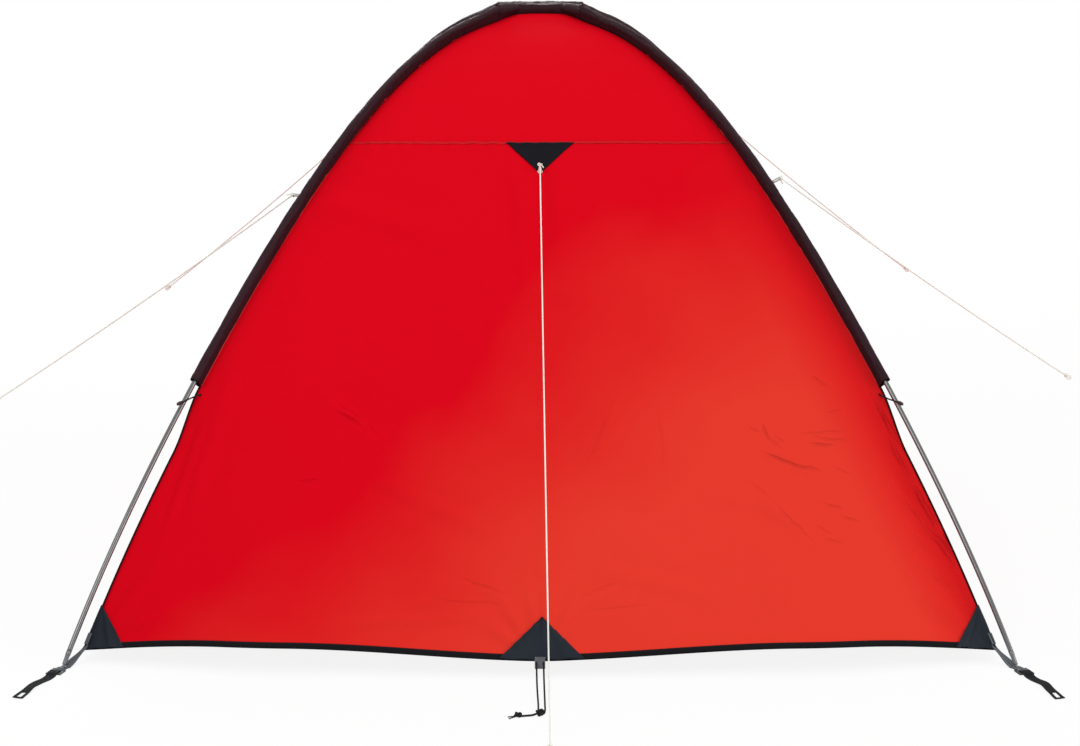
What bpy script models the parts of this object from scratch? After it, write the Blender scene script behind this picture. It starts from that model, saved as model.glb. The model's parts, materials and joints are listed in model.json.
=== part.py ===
# A lightweight tent, pitched: two crossing poles in sleeves, an outer tent and an inner tent.
# Metres, +Z up. The origin is on the ground under the crossing of the poles. The blank end
# faces -Y and the door end faces +Y.
import math

import bmesh
import bpy
from mathutils import Vector

# Poles
FOOT_SPAN_X = 1.65
FOOT_SPAN_Y = 2.40
CROWN_HEIGHT = 1.104          # pole axis over the ground where the poles cross
POLE_FALL = {2: 0.5, 3: 2.1, 4: -2.2, 6: 0.6}   # power of the share to its part of the fall; sums to 1
POLE_DIAMETER = 0.009
POLE_BORE = 0.0062
SECTIONS = 5
STEPS_PER_SECTION = 6
FERRULE_CLEARANCE = 0.0005     # pole bore to ferrule, all round
FERRULE_REACH = 0.030
SHOCK_CORD_DIAMETER = 0.0026
SHOCK_CORD_CLEARANCE = 0.0006
CROSSING_CLEARANCE = 0.0006
CROSSING_SHARE = 0.10         # the poles are bent over each other within this share of the span
TIP_LENGTH = 0.030
TIP_SHOULDER = 0.008
TIP_PIN_DIAMETER = 0.005
TIP_SPIGOT = 0.015

# Sleeves
SLEEVE_DIAMETER = 0.022
SLEEVE_BORE = 0.017
SLEEVE_TOP_SHARE = 0.105
SLEEVE_FOOT_SHARE = 0.758
CROWN_SLEEVE_WIDTH = 0.024
CROWN_SLEEVE_WALL = 0.0015

# Outer tent
FABRIC = 0.0015
FIT = 0.0003                  # gap between sewn neighbours
SEAM_DROP = 0.0178            # sleeve axis to the corner seam under it
LEG_INSET = 0.036             # pole axis to the free edge below the sleeve
LEG_EASE = 0.07               # share of the span over which the edge leaves the sleeve's line
CROWN_SHARE = 0.012
SEAM_SHARE = 0.453            # cross seam in the end panels
PATCH_SHARE = 0.950           # top of the corner patch
HEM_SHARE = 0.982
FLAT_SHARE = 0.56             # middle part of a lower panel that is a true plane
HEM_CENTRE_HEIGHT = 0.028
HEM_RAISE = 0.022             # how far the hem's curve rises between its pegged points
END_HEM_BOW = 0.0963          # how far the hem's middle stands out beyond its corners, end panels
SIDE_HEM_BOW = 0.004          # the same, side panels
PATCH_HEM_SHARE_END = 0.915
PATCH_HEM_SHARE_SIDE = 0.94
PATCH_THICKNESS = 0.001
GUY_PATCH_HALF_WIDTH = 0.065
GUY_PATCH_DEPTH = 0.050

# Door in the rear end, with its zip
DOOR_TOP_SHARE = 0.52
DOOR_TIP_HALF_WIDTH = 0.012
DOOR_HEM_HALF_WIDTH = 0.40
ZIP_OFFSET = 0.009            # slider's middle from the door's edge, on the fixed side
SLIDER_WIDTH = 0.011
SLIDER_LENGTH = 0.022
SLIDER_THICKNESS = 0.004
SLIDER_FROM_HEM = 0.034
BRIDGE_LENGTH = 0.0072
BRIDGE_WIDTH = 0.0016
BRIDGE_WALL = 0.0012
BRIDGE_CLEARANCE = 0.0005
PULL_LENGTH = 0.030
PULL_WIDTH = 0.007
PULL_THICKNESS = 0.0012
PULL_EYE_LENGTH = 0.0045
PULL_EYE_WIDTH = 0.0032

# Inner tent
INNER_GAP_X = 0.145           # floor's edge to the feet, sideways
INNER_GAP_Y = 0.250           # floor's edge to the feet, lengthwise
INNER_GAP_TOP = 0.114         # inner tent's top to the pole axis
INNER_TRAY_HEIGHT = 0.10
INNER_FABRIC = 0.001
HANGER_DIAMETER = 0.004        # cord that hangs the inner tent's top from the crossing
INNER_DOOR_TOP_SHARE = 0.62
INNER_DOOR_SILL = 0.03
INNER_DOOR_TOP_HALF_WIDTH = 0.14
INNER_DOOR_HEM_HALF_WIDTH = 0.33
INNER_FLAT_SHARE = 0.60
INNER_ROWS = (0.02, 0.2, 0.35, 0.48)
INNER_LOWER_ROWS = (0.74, 0.86, 0.95)

# Corner straps, buckles and peg straps
WEBBING_WIDTH = 0.020
WEBBING_THICKNESS = 0.0016
WEBBING_GROUND_GAP = 0.0008
STRAP_TURN = math.radians(12)  # the peg strap's direction from the long axis, outwards
EYELET_CLEARANCE = 0.0007     # pole tip's pin to its eyelet, all round
STRAP_SEAM_GAP = 0.0003
STRAP_END_REACH = 0.018
BUCKLE_SLOT_CLEARANCE = 0.0005  # webbing to the buckle's rails, each side
BUCKLE_LENGTH = 0.026
BUCKLE_THICKNESS = 0.003
BUCKLE_BAR = 0.003
BUCKLE_RAIL = 0.003
BUCKLE_BAR_CLEARANCE = 0.00095  # strap's end to the bar that it turns on
PEG_STRAP_LENGTH = 0.150
PEG_STRAP_WIDTH = 0.018
PEG_SLOT_WIDTH = 0.008
PEG_SLOT_LENGTH = 0.028
PEG_SLOT_FROM_END = 0.006

# Leg toggles
TOGGLE_SHARE = 0.765
TOGGLE_CLEARANCE = 0.0020     # pole to the toggle's cord, beside it
TOGGLE_SLANT = math.radians(50)   # the cord's lean down the pole from square to it
TOGGLE_CORD_DIAMETER = 0.003
TOGGLE_CORD_LENGTH = 0.046    # from beside the cover's edge
TOGGLE_LENGTH = 0.016

# Guys and peg cord
GUY_DIAMETER = 0.0026
GUY_START_GAP = 0.0002
GUY_SAG = 0.006
GUY_POINTS = 13
GUY_KNOTS = {                 # share of the pole's half span, and the knot's place from the pole axis: up, across
    "guy_front_left": (0.5414, 0.0010, 0.0253),
    "guy_front_right": (0.5249, 0.0149, 0.0211),
    "guy_rear_left": (0.5204, -0.0055, 0.0275),
    "guy_rear_right": (0.5134, 0.0091, 0.0259),
}
GUY_RUNS = {                  # from the knot to the guy's end
    "guy_front_left": (-0.6020, 0.0000, -0.4130),
    "guy_front_right": (0.5630, 0.0060, -0.3860),
    "guy_rear_left": (-0.4380, -0.0060, -0.3630),
    "guy_rear_right": (0.4250, -0.0060, -0.3380),
}
CENTRE_GUY_STANDOFF = 0.020   # knot to the patch
CENTRE_GUY_END = (0.0160, -1.7000, 0.0060)
PEG_CORD_DIAMETER = 0.003
PEG_CORD_ROUTE = ((-0.0060, -1.2498, 0.0266), (-0.0050, -1.3400, 0.0110), (-0.0030, -1.4200, 0.0030),
                  (-0.0020, -1.4700, 0.0022), (0.0030, -1.4880, 0.0022), (0.0080, -1.4700, 0.0022),
                  (0.0080, -1.4200, 0.0030), (0.0070, -1.3400, 0.0110), (0.0060, -1.2498, 0.0266))
PEG_CORD_POINTS = 60

ROUND_SIDES = 8

COLOURS = {
    "red_fabric": ((0.55, 0.010, 0.012), 0.55, 0.0),
    "black_fabric": ((0.012, 0.010, 0.012), 0.60, 0.0),
    "slate_fabric": ((0.022, 0.027, 0.036), 0.65, 0.0),
    "inner_fabric": ((0.45, 0.46, 0.48), 0.80, 0.0),
    "floor_fabric": ((0.03, 0.035, 0.045), 0.55, 0.0),
    "fibreglass": ((0.035, 0.035, 0.038), 0.30, 0.0),
    "metal": ((0.62, 0.63, 0.65), 0.35, 0.9),
    "black_plastic": ((0.012, 0.012, 0.013), 0.40, 0.0),
    "grey_webbing": ((0.16, 0.175, 0.18), 0.85, 0.0),
    "cream_cord": ((0.72, 0.69, 0.60), 0.75, 0.0),
    "dark_cord": ((0.06, 0.062, 0.065), 0.80, 0.0),
}

FERRULE_DIAMETER = POLE_BORE - 2 * FERRULE_CLEARANCE
FERRULE_BORE = SHOCK_CORD_DIAMETER + 2 * SHOCK_CORD_CLEARANCE
BUCKLE_WIDTH = WEBBING_WIDTH + 2 * (BUCKLE_SLOT_CLEARANCE + BUCKLE_RAIL)
INNER_FLOOR_X = FOOT_SPAN_X - 2 * INNER_GAP_X
INNER_FLOOR_Y = FOOT_SPAN_Y - 2 * INNER_GAP_Y
INNER_CROWN_HEIGHT = CROWN_HEIGHT - INNER_GAP_TOP
FOOT_HEIGHT = 0.0016          # pole axis over the ground at the pin's end
DIAGONAL = Vector((FOOT_SPAN_X / 2, FOOT_SPAN_Y / 2))
HALF_DIAGONAL = DIAGONAL.length
OUTWARD_X = DIAGONAL.x / HALF_DIAGONAL
OUTWARD_Y = DIAGONAL.y / HALF_DIAGONAL


def clearScene():
    for item in list(bpy.data.objects):
        bpy.data.objects.remove(item, do_unlink=True)


def material(slot):
    """The finish of this name, made once."""
    found = bpy.data.materials.get(slot)
    if found:
        return found
    colour, roughness, metallic = COLOURS[slot]
    made = bpy.data.materials.new(slot)
    made.use_nodes = True
    shader = made.node_tree.nodes["Principled BSDF"]
    shader.inputs["Base Color"].default_value = (*colour, 1.0)
    shader.inputs["Roughness"].default_value = roughness
    shader.inputs["Metallic"].default_value = metallic
    return made


def objectFrom(name, mesh, slot, smooth=True):
    """Turns a finished bmesh into a named object with its faces outwards."""
    mesh.normal_update()
    bmesh.ops.recalc_face_normals(mesh, faces=mesh.faces[:])
    if mesh.calc_volume(signed=True) < 0:
        bmesh.ops.reverse_faces(mesh, faces=mesh.faces[:])
    data = bpy.data.meshes.new(name)
    mesh.to_mesh(data)
    mesh.free()
    if smooth:
        data.shade_smooth()
        data.set_sharp_from_angle(angle=math.radians(35))
    data.materials.append(material(slot))
    made = bpy.data.objects.new(name, data)
    bpy.context.collection.objects.link(made)
    return made


# Line of a pole

def poleFall(share):
    """Part of the crown's height that a pole has lost at this share of its half span."""
    return sum(part * share ** power for power, part in POLE_FALL.items())


class PoleLine:
    """A pole's axis from its front foot to its rear foot, as short straight steps of equal length."""

    def __init__(self, hand, lift):
        self.hand = hand          # +1 runs from front left to rear right
        self.lift = lift          # how far the axis is bent up where the poles cross
        self.heading = Vector((hand * OUTWARD_X, OUTWARD_Y, 0.0))
        self.across = self.heading.cross(Vector((0, 0, 1)))
        steps = SECTIONS * STEPS_PER_SECTION
        fine = [self.pointAt(-1 + 2 * k / 4000) for k in range(4001)]
        run = [0.0]
        for a, b in zip(fine, fine[1:]):
            run.append(run[-1] + (b - a).length)
        self.stations = []
        index = 0
        for step in range(steps + 1):
            target = run[-1] * step / steps
            while index < 4000 and run[index] < target - 1e-9:
                index += 1
            self.stations.append(fine[index])
        self.marks = [0.0]
        for a, b in zip(self.stations, self.stations[1:]):
            self.marks.append(self.marks[-1] + (b - a).length)
        self.length = self.marks[-1]

    def pointAt(self, share):
        height = FOOT_HEIGHT + (CROWN_HEIGHT - FOOT_HEIGHT) * (1 - poleFall(abs(share)))
        near = max(0.0, 1 - (share / CROSSING_SHARE) ** 2)
        height += self.lift * near ** 2
        return Vector((share * self.hand * FOOT_SPAN_X / 2, share * FOOT_SPAN_Y / 2, height))

    def frame(self, distance):
        """Point, direction and upward normal at this distance from the front foot."""
        for k in range(1, len(self.marks) - 1):
            if abs(self.marks[k] - distance) < 1e-7:
                before = (self.stations[k] - self.stations[k - 1]).normalized()
                after = (self.stations[k + 1] - self.stations[k]).normalized()
                along = (before + after).normalized()
                return self.stations[k], along, self.across.cross(along)
        k = 0
        while k < len(self.marks) - 2 and self.marks[k + 1] < distance:
            k += 1
        along = (self.stations[k + 1] - self.stations[k]).normalized()
        return self.stations[k] + along * (distance - self.marks[k]), along, self.across.cross(along)

    def distanceOf(self, share):
        """Distance from the front foot at which the axis has this signed share of its span."""
        target = share * HALF_DIAGONAL
        reach = [point.dot(self.heading) for point in self.stations]
        k = 0
        while k < len(reach) - 2 and reach[k + 1] < target:
            k += 1
        part = (target - reach[k]) / (reach[k + 1] - reach[k])
        return self.marks[k] + part * (self.marks[k + 1] - self.marks[k])

    def marksBetween(self, low, high):
        return [mark for mark in self.marks if low + 1e-6 < mark < high - 1e-6]


def turned(name, line, profile, slot, hollow):
    """A round piece along a pole's line. The profile's points are (distance, radius) or
    (distance, radius, radius at the underside), in order round the section."""
    points = []
    count = len(profile)
    for index in range(count if hollow else count - 1):
        a, b = profile[index], profile[(index + 1) % count]
        points.append(a)
        marks = line.marksBetween(min(a[0], b[0]), max(a[0], b[0]))
        if a[0] > b[0]:
            marks.reverse()
        for mark in marks:
            points.append((mark,) + a[1:])
    if not hollow:
        points.append(profile[-1])
    mesh = bmesh.new()
    rings = []
    for point in points:
        place, along, up = line.frame(point[0])
        radius = point[1]
        low = point[2] if len(point) > 2 else radius
        if radius == 0:
            rings.append([mesh.verts.new(place)])
            continue
        ring = []
        for side in range(ROUND_SIDES):
            angle = 2 * math.pi * side / ROUND_SIDES
            reach = low if side == 0 else radius
            ring.append(mesh.verts.new(place + (line.across * math.sin(angle) - up * math.cos(angle)) * reach))
        rings.append(ring)
    pairs = list(zip(rings, rings[1:]))
    if hollow:
        pairs.append((rings[-1], rings[0]))
    for first, second in pairs:
        for side in range(ROUND_SIDES):
            after = (side + 1) % ROUND_SIDES
            if len(first) == 1:
                mesh.faces.new((first[0], second[side], second[after]))
            elif len(second) == 1:
                mesh.faces.new((first[after], first[side], second[0]))
            else:
                mesh.faces.new((first[after], first[side], second[side], second[after]))
    return objectFrom(name, mesh, slot)


def poleSections(letter, line):
    """The pole's joined sections: each is a tube with the next one's ferrule in its end."""
    outer, bore = POLE_DIAMETER / 2, POLE_BORE / 2
    spigot, through = FERRULE_DIAMETER / 2, FERRULE_BORE / 2
    first = TIP_LENGTH
    span = line.length - 2 * TIP_LENGTH
    for index in range(SECTIONS):
        start = first + span * index / SECTIONS + (FIT if index else 0)
        end = first + span * (index + 1) / SECTIONS
        if index < SECTIONS - 1:
            profile = [(start, outer), (end, outer), (end, spigot), (end + FERRULE_REACH, spigot),
                       (end + FERRULE_REACH, through), (end - FERRULE_REACH, through),
                       (end - FERRULE_REACH, bore), (start, bore)]
        else:
            profile = [(start, outer), (end, outer), (end, bore), (start, bore)]
        turned(f"pole_{letter}_section_{index + 1}", line, profile, "fibreglass", hollow=True)
    cordStart = TIP_LENGTH + TIP_SPIGOT + FIT
    cord = SHOCK_CORD_DIAMETER / 2
    turned(f"shock_cord_{letter}", line,
           [(cordStart, 0), (cordStart, cord), (line.length - cordStart, cord), (line.length - cordStart, 0)],
           "dark_cord", hollow=False)


def poleTips(line, frontName, rearName):
    """Metal tips: a spigot in the pole's end, a shoulder, and a pin that stands on the ground."""
    outer, spigot, pin = POLE_DIAMETER / 2, FERRULE_DIAMETER / 2, TIP_PIN_DIAMETER / 2
    profile = [(0, 0), (0, pin), (TIP_LENGTH - TIP_SHOULDER, pin), (TIP_LENGTH - TIP_SHOULDER, outer),
               (TIP_LENGTH - FIT, outer), (TIP_LENGTH - FIT, spigot),
               (TIP_LENGTH + TIP_SPIGOT, spigot), (TIP_LENGTH + TIP_SPIGOT, 0)]
    turned(frontName, line, profile, "metal", hollow=False)
    turned(rearName, line, [(line.length - distance, radius) for distance, radius in profile],
           "metal", hollow=False)


def sleeves(line, frontName, rearName):
    """Sewn tunnels round the pole: a tube whose underside runs down to the corner seam."""
    outer, bore, keel = SLEEVE_DIAMETER / 2, SLEEVE_BORE / 2, SEAM_DROP - FIT
    for name, sign in ((frontName, -1), (rearName, 1)):
        foot = line.distanceOf(sign * SLEEVE_FOOT_SHARE)
        top = line.distanceOf(sign * SLEEVE_TOP_SHARE)
        turned(name, line, [(foot, outer, keel), (top, outer, keel), (top, bore), (foot, bore)],
               "black_fabric", hollow=True)


def barAlong(line, halfWidth, above, below, reachShare):
    """A square bar along the top of a pole's line, for the crown sleeve's arms."""
    start, end = line.distanceOf(-reachShare), line.distanceOf(reachShare)
    mesh = bmesh.new()
    rings = []
    for mark in [start] + line.marksBetween(start, end) + [end]:
        place, along, up = line.frame(mark)
        rings.append([mesh.verts.new(place + line.across * sideways + up * rise)
                      for sideways, rise in ((-halfWidth, -below), (halfWidth, -below),
                                             (halfWidth, above), (-halfWidth, above))])
    for first, second in zip(rings, rings[1:]):
        for k in range(4):
            mesh.faces.new((first[k], first[(k + 1) % 4], second[(k + 1) % 4], second[k]))
    mesh.faces.new(rings[0])
    mesh.faces.new(rings[-1])
    return mesh


def cutter(name, mesh):
    tool = objectFrom(name, mesh, "black_fabric", smooth=False)
    tool.hide_render = True
    tool.display_type = "WIRE"
    return tool


def combine(target, tool, operation):
    modifier = target.modifiers.new(operation.lower(), "BOOLEAN")
    modifier.object = tool
    modifier.operation = operation


def crownSleeve(lineA, lineB):
    """The X-shaped sleeve over the crossing: four channel arms, open below and at their ends."""
    half = CROWN_SLEEVE_WIDTH / 2
    wall = CROWN_SLEEVE_WALL
    reach = SLEEVE_TOP_SHARE - 0.001
    roof = SLEEVE_DIAMETER / 2 + 0.002
    base = SEAM_DROP - 2 * FIT
    crown = objectFrom("crown_sleeve", barAlong(lineA, half, roof, base, reach), "black_fabric", smooth=False)
    combine(crown, cutter("crown_arm", barAlong(lineB, half, roof, base, reach)), "UNION")
    for name, line in (("crown_bore_a", lineA), ("crown_bore_b", lineB)):
        bore = barAlong(line, half - wall, roof - wall, base + 0.02, reach + 0.02)
        combine(crown, cutter(name, bore), "DIFFERENCE")


# Surfaces of the outer tent

class Cover:
    """The cloth shape that the poles hold: corner lines, and flat lower panels between them."""

    def __init__(self, line):
        self.line = line
        self.seam = self.distance(SEAM_SHARE)

    def distance(self, share):
        """Distance along the line, from the crown outwards."""
        return self.line.distanceOf(share) - self.line.length / 2

    def corner(self, distance, depth=0.0):
        """Corner point in the +X +Y quarter; depth is how far below the cloth's face."""
        place, along, up = self.line.frame(self.line.length / 2 + distance)
        leave = (distance - self.distance(SLEEVE_FOOT_SHARE)) / (LEG_EASE * self.distance(1.0))
        leave = min(1.0, max(0.0, leave))
        drop = SEAM_DROP + (LEG_INSET - SEAM_DROP) * leave * leave * (3 - 2 * leave)
        return place - up * (drop + depth)

    def rows(self, low, high):
        """Row distances between two shares: the pole's own steps, with the sleeve's end eased."""
        start, end = self.distance(low), self.distance(high)
        middle = self.line.length / 2
        last = min(end, self.distance(PATCH_SHARE))
        marks = [mark - middle for mark in self.line.marksBetween(middle + start, middle + last)]
        for share in (TOGGLE_SHARE, SLEEVE_FOOT_SHARE + LEG_EASE / 2, SLEEVE_FOOT_SHARE + LEG_EASE,
                      SEAM_SHARE, DOOR_TOP_SHARE, PATCH_SHARE):
            extra = self.distance(share)
            if start + 1e-6 < extra < end - 1e-6:
                marks = [mark for mark in marks if abs(mark - extra) > 0.02] + [extra]
        return [start] + sorted(marks) + [end]


class Panel:
    """One side of the cover. side is 'x' or 'y', the axis that the panel faces along, and sign
    is its direction. Below the seam the middle of the panel lies in one plane."""

    def __init__(self, cover, side, sign, hemReach):
        self.cover = cover
        self.side = side
        self.sign = sign
        seamCorner = cover.corner(cover.seam)
        self.seamReach = seamCorner.x if side == "x" else seamCorner.y
        self.seamHeight = seamCorner.z
        self.hemReach = hemReach

    def planeReach(self, height, depth=0.0):
        """How far out the flat middle stands at this height."""
        part = (self.seamHeight - height) / (self.seamHeight - HEM_CENTRE_HEIGHT)
        run = self.hemReach - self.seamReach
        fall = self.seamHeight - HEM_CENTRE_HEIGHT
        return self.seamReach + run * part - depth * math.hypot(run, fall) / fall

    def point(self, distance, share, depth=0.0, gap=FIT * 0.7, width=None, atHem=False):
        """A point of the panel: share runs from -1 to 1 between the corner lines, or width gives
        the place along the panel itself."""
        corner = self.cover.corner(distance, depth)
        reach, half = (corner.x, corner.y) if self.side == "x" else (corner.y, corner.x)
        half -= gap
        along = share * half if width is None else width
        share = along / half
        height = corner.z
        if atHem:
            height = hemHeight(share, corner.z)
        if distance > self.cover.seam:
            weight = min(1.0, (1 - abs(share)) / (1 - FLAT_SHARE))
            reach = reach + (self.planeReach(height, depth) - reach) * weight
        if self.side == "x":
            return Vector((self.sign * reach, along, height))
        return Vector((along, self.sign * reach, height))

    def planePoint(self, width, height, depth=0.0):
        """A point of the flat middle, by its height."""
        reach = self.planeReach(height, depth)
        if self.side == "x":
            return Vector((self.sign * reach, width, height))
        return Vector((width, self.sign * reach, height))

    def outward(self):
        run = self.hemReach - self.seamReach
        fall = self.seamHeight - HEM_CENTRE_HEIGHT
        flat = Vector((self.sign * fall, 0, run)) if self.side == "x" else Vector((0, self.sign * fall, run))
        return flat.normalized()


def hemHeight(share, cornerHeight):
    """The hem's height between the corner (share 1) and the pegged middle (share 0)."""
    away = abs(share)
    level = HEM_CENTRE_HEIGHT + (cornerHeight - HEM_CENTRE_HEIGHT) * away
    return level + HEM_RAISE * math.sin(math.pi * away ** 1.4)


def sheet(name, outer, inner, slot, skip=()):
    """A sheet with thickness from two grids of points. Cells in skip are left open. Cells on the
    two halves are split towards the middle, so both halves are alike."""
    mesh = bmesh.new()
    rows, columns = len(outer), len(outer[0])
    used = set()
    cells = []
    for i in range(rows - 1):
        for j in range(columns - 1):
            if (i, j) in skip:
                continue
            cells.append((i, j))
            used.update(((i, j), (i, j + 1), (i + 1, j), (i + 1, j + 1)))
    top = {key: mesh.verts.new(outer[key[0]][key[1]]) for key in sorted(used)}
    bottom = {key: mesh.verts.new(inner[key[0]][key[1]]) for key in sorted(used)}
    edges = {}
    for i, j in cells:
        a, b, c, d = (i, j), (i, j + 1), (i + 1, j + 1), (i + 1, j)
        if j * 2 < columns - 1:
            triangles = ((a, b, c), (a, c, d))
        else:
            triangles = ((a, b, d), (b, c, d))
        for triangle in triangles:
            mesh.faces.new([top[key] for key in triangle])
            mesh.faces.new([bottom[key] for key in reversed(triangle)])
        for edge in ((a, b), (b, c), (c, d), (d, a)):
            edges[edge] = True
    for (start, end) in edges:
        if (end, start) not in edges:
            mesh.faces.new((top[end], top[start], bottom[start]))
            mesh.faces.new((top[end], bottom[start], bottom[end]))
    return objectFrom(name, mesh, slot)


def gridPanel(name, panel, distances, shares, slot, endsAtHem):
    """A panel that fills its whole width between the corner lines."""
    grids = []
    for depth in (0.0, FABRIC):
        grids.append([[panel.point(distance, share, depth, atHem=endsAtHem and row == len(distances) - 1)
                       for share in shares] for row, distance in enumerate(distances)])
    return sheet(name, grids[0], grids[1], slot)


LOWER_SHARES = (-1.0, -PATCH_HEM_SHARE_END, -0.75, -FLAT_SHARE, -0.28, 0.0,
                0.28, FLAT_SHARE, 0.75, PATCH_HEM_SHARE_END, 1.0)


def doorHalfWidth(panel, height, topHeight):
    """Half the door's width at this height: straight sides from its tip to the hem."""
    if height >= topHeight:
        return DOOR_TIP_HALF_WIDTH
    part = (topHeight - height) / (topHeight - HEM_CENTRE_HEIGHT)
    return DOOR_TIP_HALF_WIDTH + (DOOR_HEM_HALF_WIDTH - DOOR_TIP_HALF_WIDTH) * part


def hemDoorPlace(panel, distance, topHeight):
    """Width and height where the door's straight side meets the curved hem."""
    corner = panel.cover.corner(distance)
    height = HEM_CENTRE_HEIGHT
    for _ in range(12):
        width = doorHalfWidth(panel, height, topHeight)
        height = hemHeight(width / (corner.x - FIT * 0.7), corner.z)
    return width


def rearLower(panel, distances):
    """The fixed cloth round the door, and the door itself."""
    cover = panel.cover
    topHeight = cover.corner(cover.distance(DOOR_TOP_SHARE)).z
    last = len(distances) - 1
    fixed = []
    door = []
    for depth in (0.0, FABRIC):
        fixedRows = []
        doorRows = []
        for row, distance in enumerate(distances):
            atHem = row == last
            half = cover.corner(distance, depth).x - FIT * 0.7
            height = cover.corner(distance).z
            side = hemDoorPlace(panel, distance, topHeight) if atHem else doorHalfWidth(panel, height, topHeight)
            right = [(side, None), (half * 0.75, None), (half * PATCH_HEM_SHARE_END, None), (half, None)]
            if side < half * FLAT_SHARE - 0.02:
                right.insert(1, (half * FLAT_SHARE, None))
            else:
                right.insert(1, (half * (FLAT_SHARE + 0.02), None))
            widths = [-width for width, _ in reversed(right)] + [width for width, _ in right]
            fixedRows.append([panel.point(distance, 0, depth, width=width, atHem=atHem) for width in widths])
            if height <= topHeight + 1e-9:
                inset = side - FIT
                doorRows.append([panel.point(distance, 0, depth, width=inset * part, atHem=atHem)
                                 for part in (-1.0, -0.5, 0.0, 0.5, 1.0)])
        slope = panel.planePoint(0, topHeight - FIT, depth) - panel.planePoint(0, topHeight, depth)
        doorRows[0] = [point + slope for point in doorRows[0]]
        fixed.append(fixedRows)
        door.append(doorRows)
    topRow = distances.index(cover.distance(DOOR_TOP_SHARE))
    middle = len(fixed[0][0]) // 2 - 1
    opening = {(row, middle) for row in range(topRow, last)}
    sheet("fly_rear_lower", fixed[0], fixed[1], "red_fabric", skip=opening)
    sheet("fly_door", door[0], door[1], "red_fabric")
    return topHeight


def facePlate(name, points, outward, slot, lift, thickness):
    """A flat patch over the given outline, lifted off the cloth."""
    mesh = bmesh.new()
    near = [mesh.verts.new(point + outward * lift) for point in points]
    far = [mesh.verts.new(point + outward * (lift + thickness)) for point in points]
    mesh.faces.new(near)
    mesh.faces.new(far)
    count = len(points)
    for k in range(count):
        mesh.faces.new((near[k], near[(k + 1) % count], far[(k + 1) % count], far[k]))
    return objectFrom(name, mesh, slot, smooth=False)


def cornerPatch(name, endPanel, sidePanel, signX, signY):
    """A folded triangle over the hem's corner, on the end panel and on the side panel."""
    cover = endPanel.cover
    top, hem = cover.distance(PATCH_SHARE), cover.distance(HEM_SHARE)
    layers = []
    for depth in (-FIT, -FIT - PATCH_THICKNESS):
        upper = endPanel.point(top, signX, depth, gap=0.0)
        tip = endPanel.point(hem, signX, depth, gap=0.0, atHem=True)
        endHem = endPanel.point(hem, signX * PATCH_HEM_SHARE_END, depth, atHem=True)
        sideHem = sidePanel.point(hem, signY * PATCH_HEM_SHARE_SIDE, depth, atHem=True)
        layers.append((upper, tip, endHem, sideHem))
    mesh = bmesh.new()
    near, far = ([mesh.verts.new(point) for point in layer] for layer in layers)
    for layer in (near, far):
        mesh.faces.new((layer[0], layer[1], layer[2]))
        mesh.faces.new((layer[0], layer[3], layer[1]))
    for a, b in ((0, 2), (2, 1), (1, 3), (3, 0)):
        mesh.faces.new((near[a], near[b], far[b]))
        mesh.faces.new((near[a], far[b], far[a]))
    return objectFrom(name, mesh, "slate_fabric", smooth=False)


# Straps and fittings

def ribbon(name, places, width, thickness, slot):
    """Webbing along places, each (point, sideways direction); its thickness is upwards."""
    mesh = bmesh.new()
    rings = []
    for point, sideways in places:
        half = sideways.normalized() * width / 2
        rise = Vector((0, 0, thickness))
        rings.append([mesh.verts.new(place) for place in
                      (point - half, point + half, point + half + rise, point - half + rise)])
    for first, second in zip(rings, rings[1:]):
        for k in range(4):
            mesh.faces.new((first[k], first[(k + 1) % 4], second[(k + 1) % 4], second[k]))
    mesh.faces.new(rings[0])
    mesh.faces.new(rings[-1])
    return objectFrom(name, mesh, slot, smooth=False)


def block(name, low, high, turn, place, slot):
    """A plain box in its own axes, turned about Z and moved to its place."""
    mesh = bmesh.new()
    bmesh.ops.create_cube(mesh, size=1.0)
    for vert in mesh.verts:
        vert.co = Vector([low[k] + (vert.co[k] + 0.5) * (high[k] - low[k]) for k in range(3)])
    cosine, sine = math.cos(turn), math.sin(turn)
    for vert in mesh.verts:
        x, y, z = vert.co
        vert.co = Vector((x * cosine - y * sine, x * sine + y * cosine, z)) + place
    return objectFrom(name, mesh, slot, smooth=False)


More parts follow.
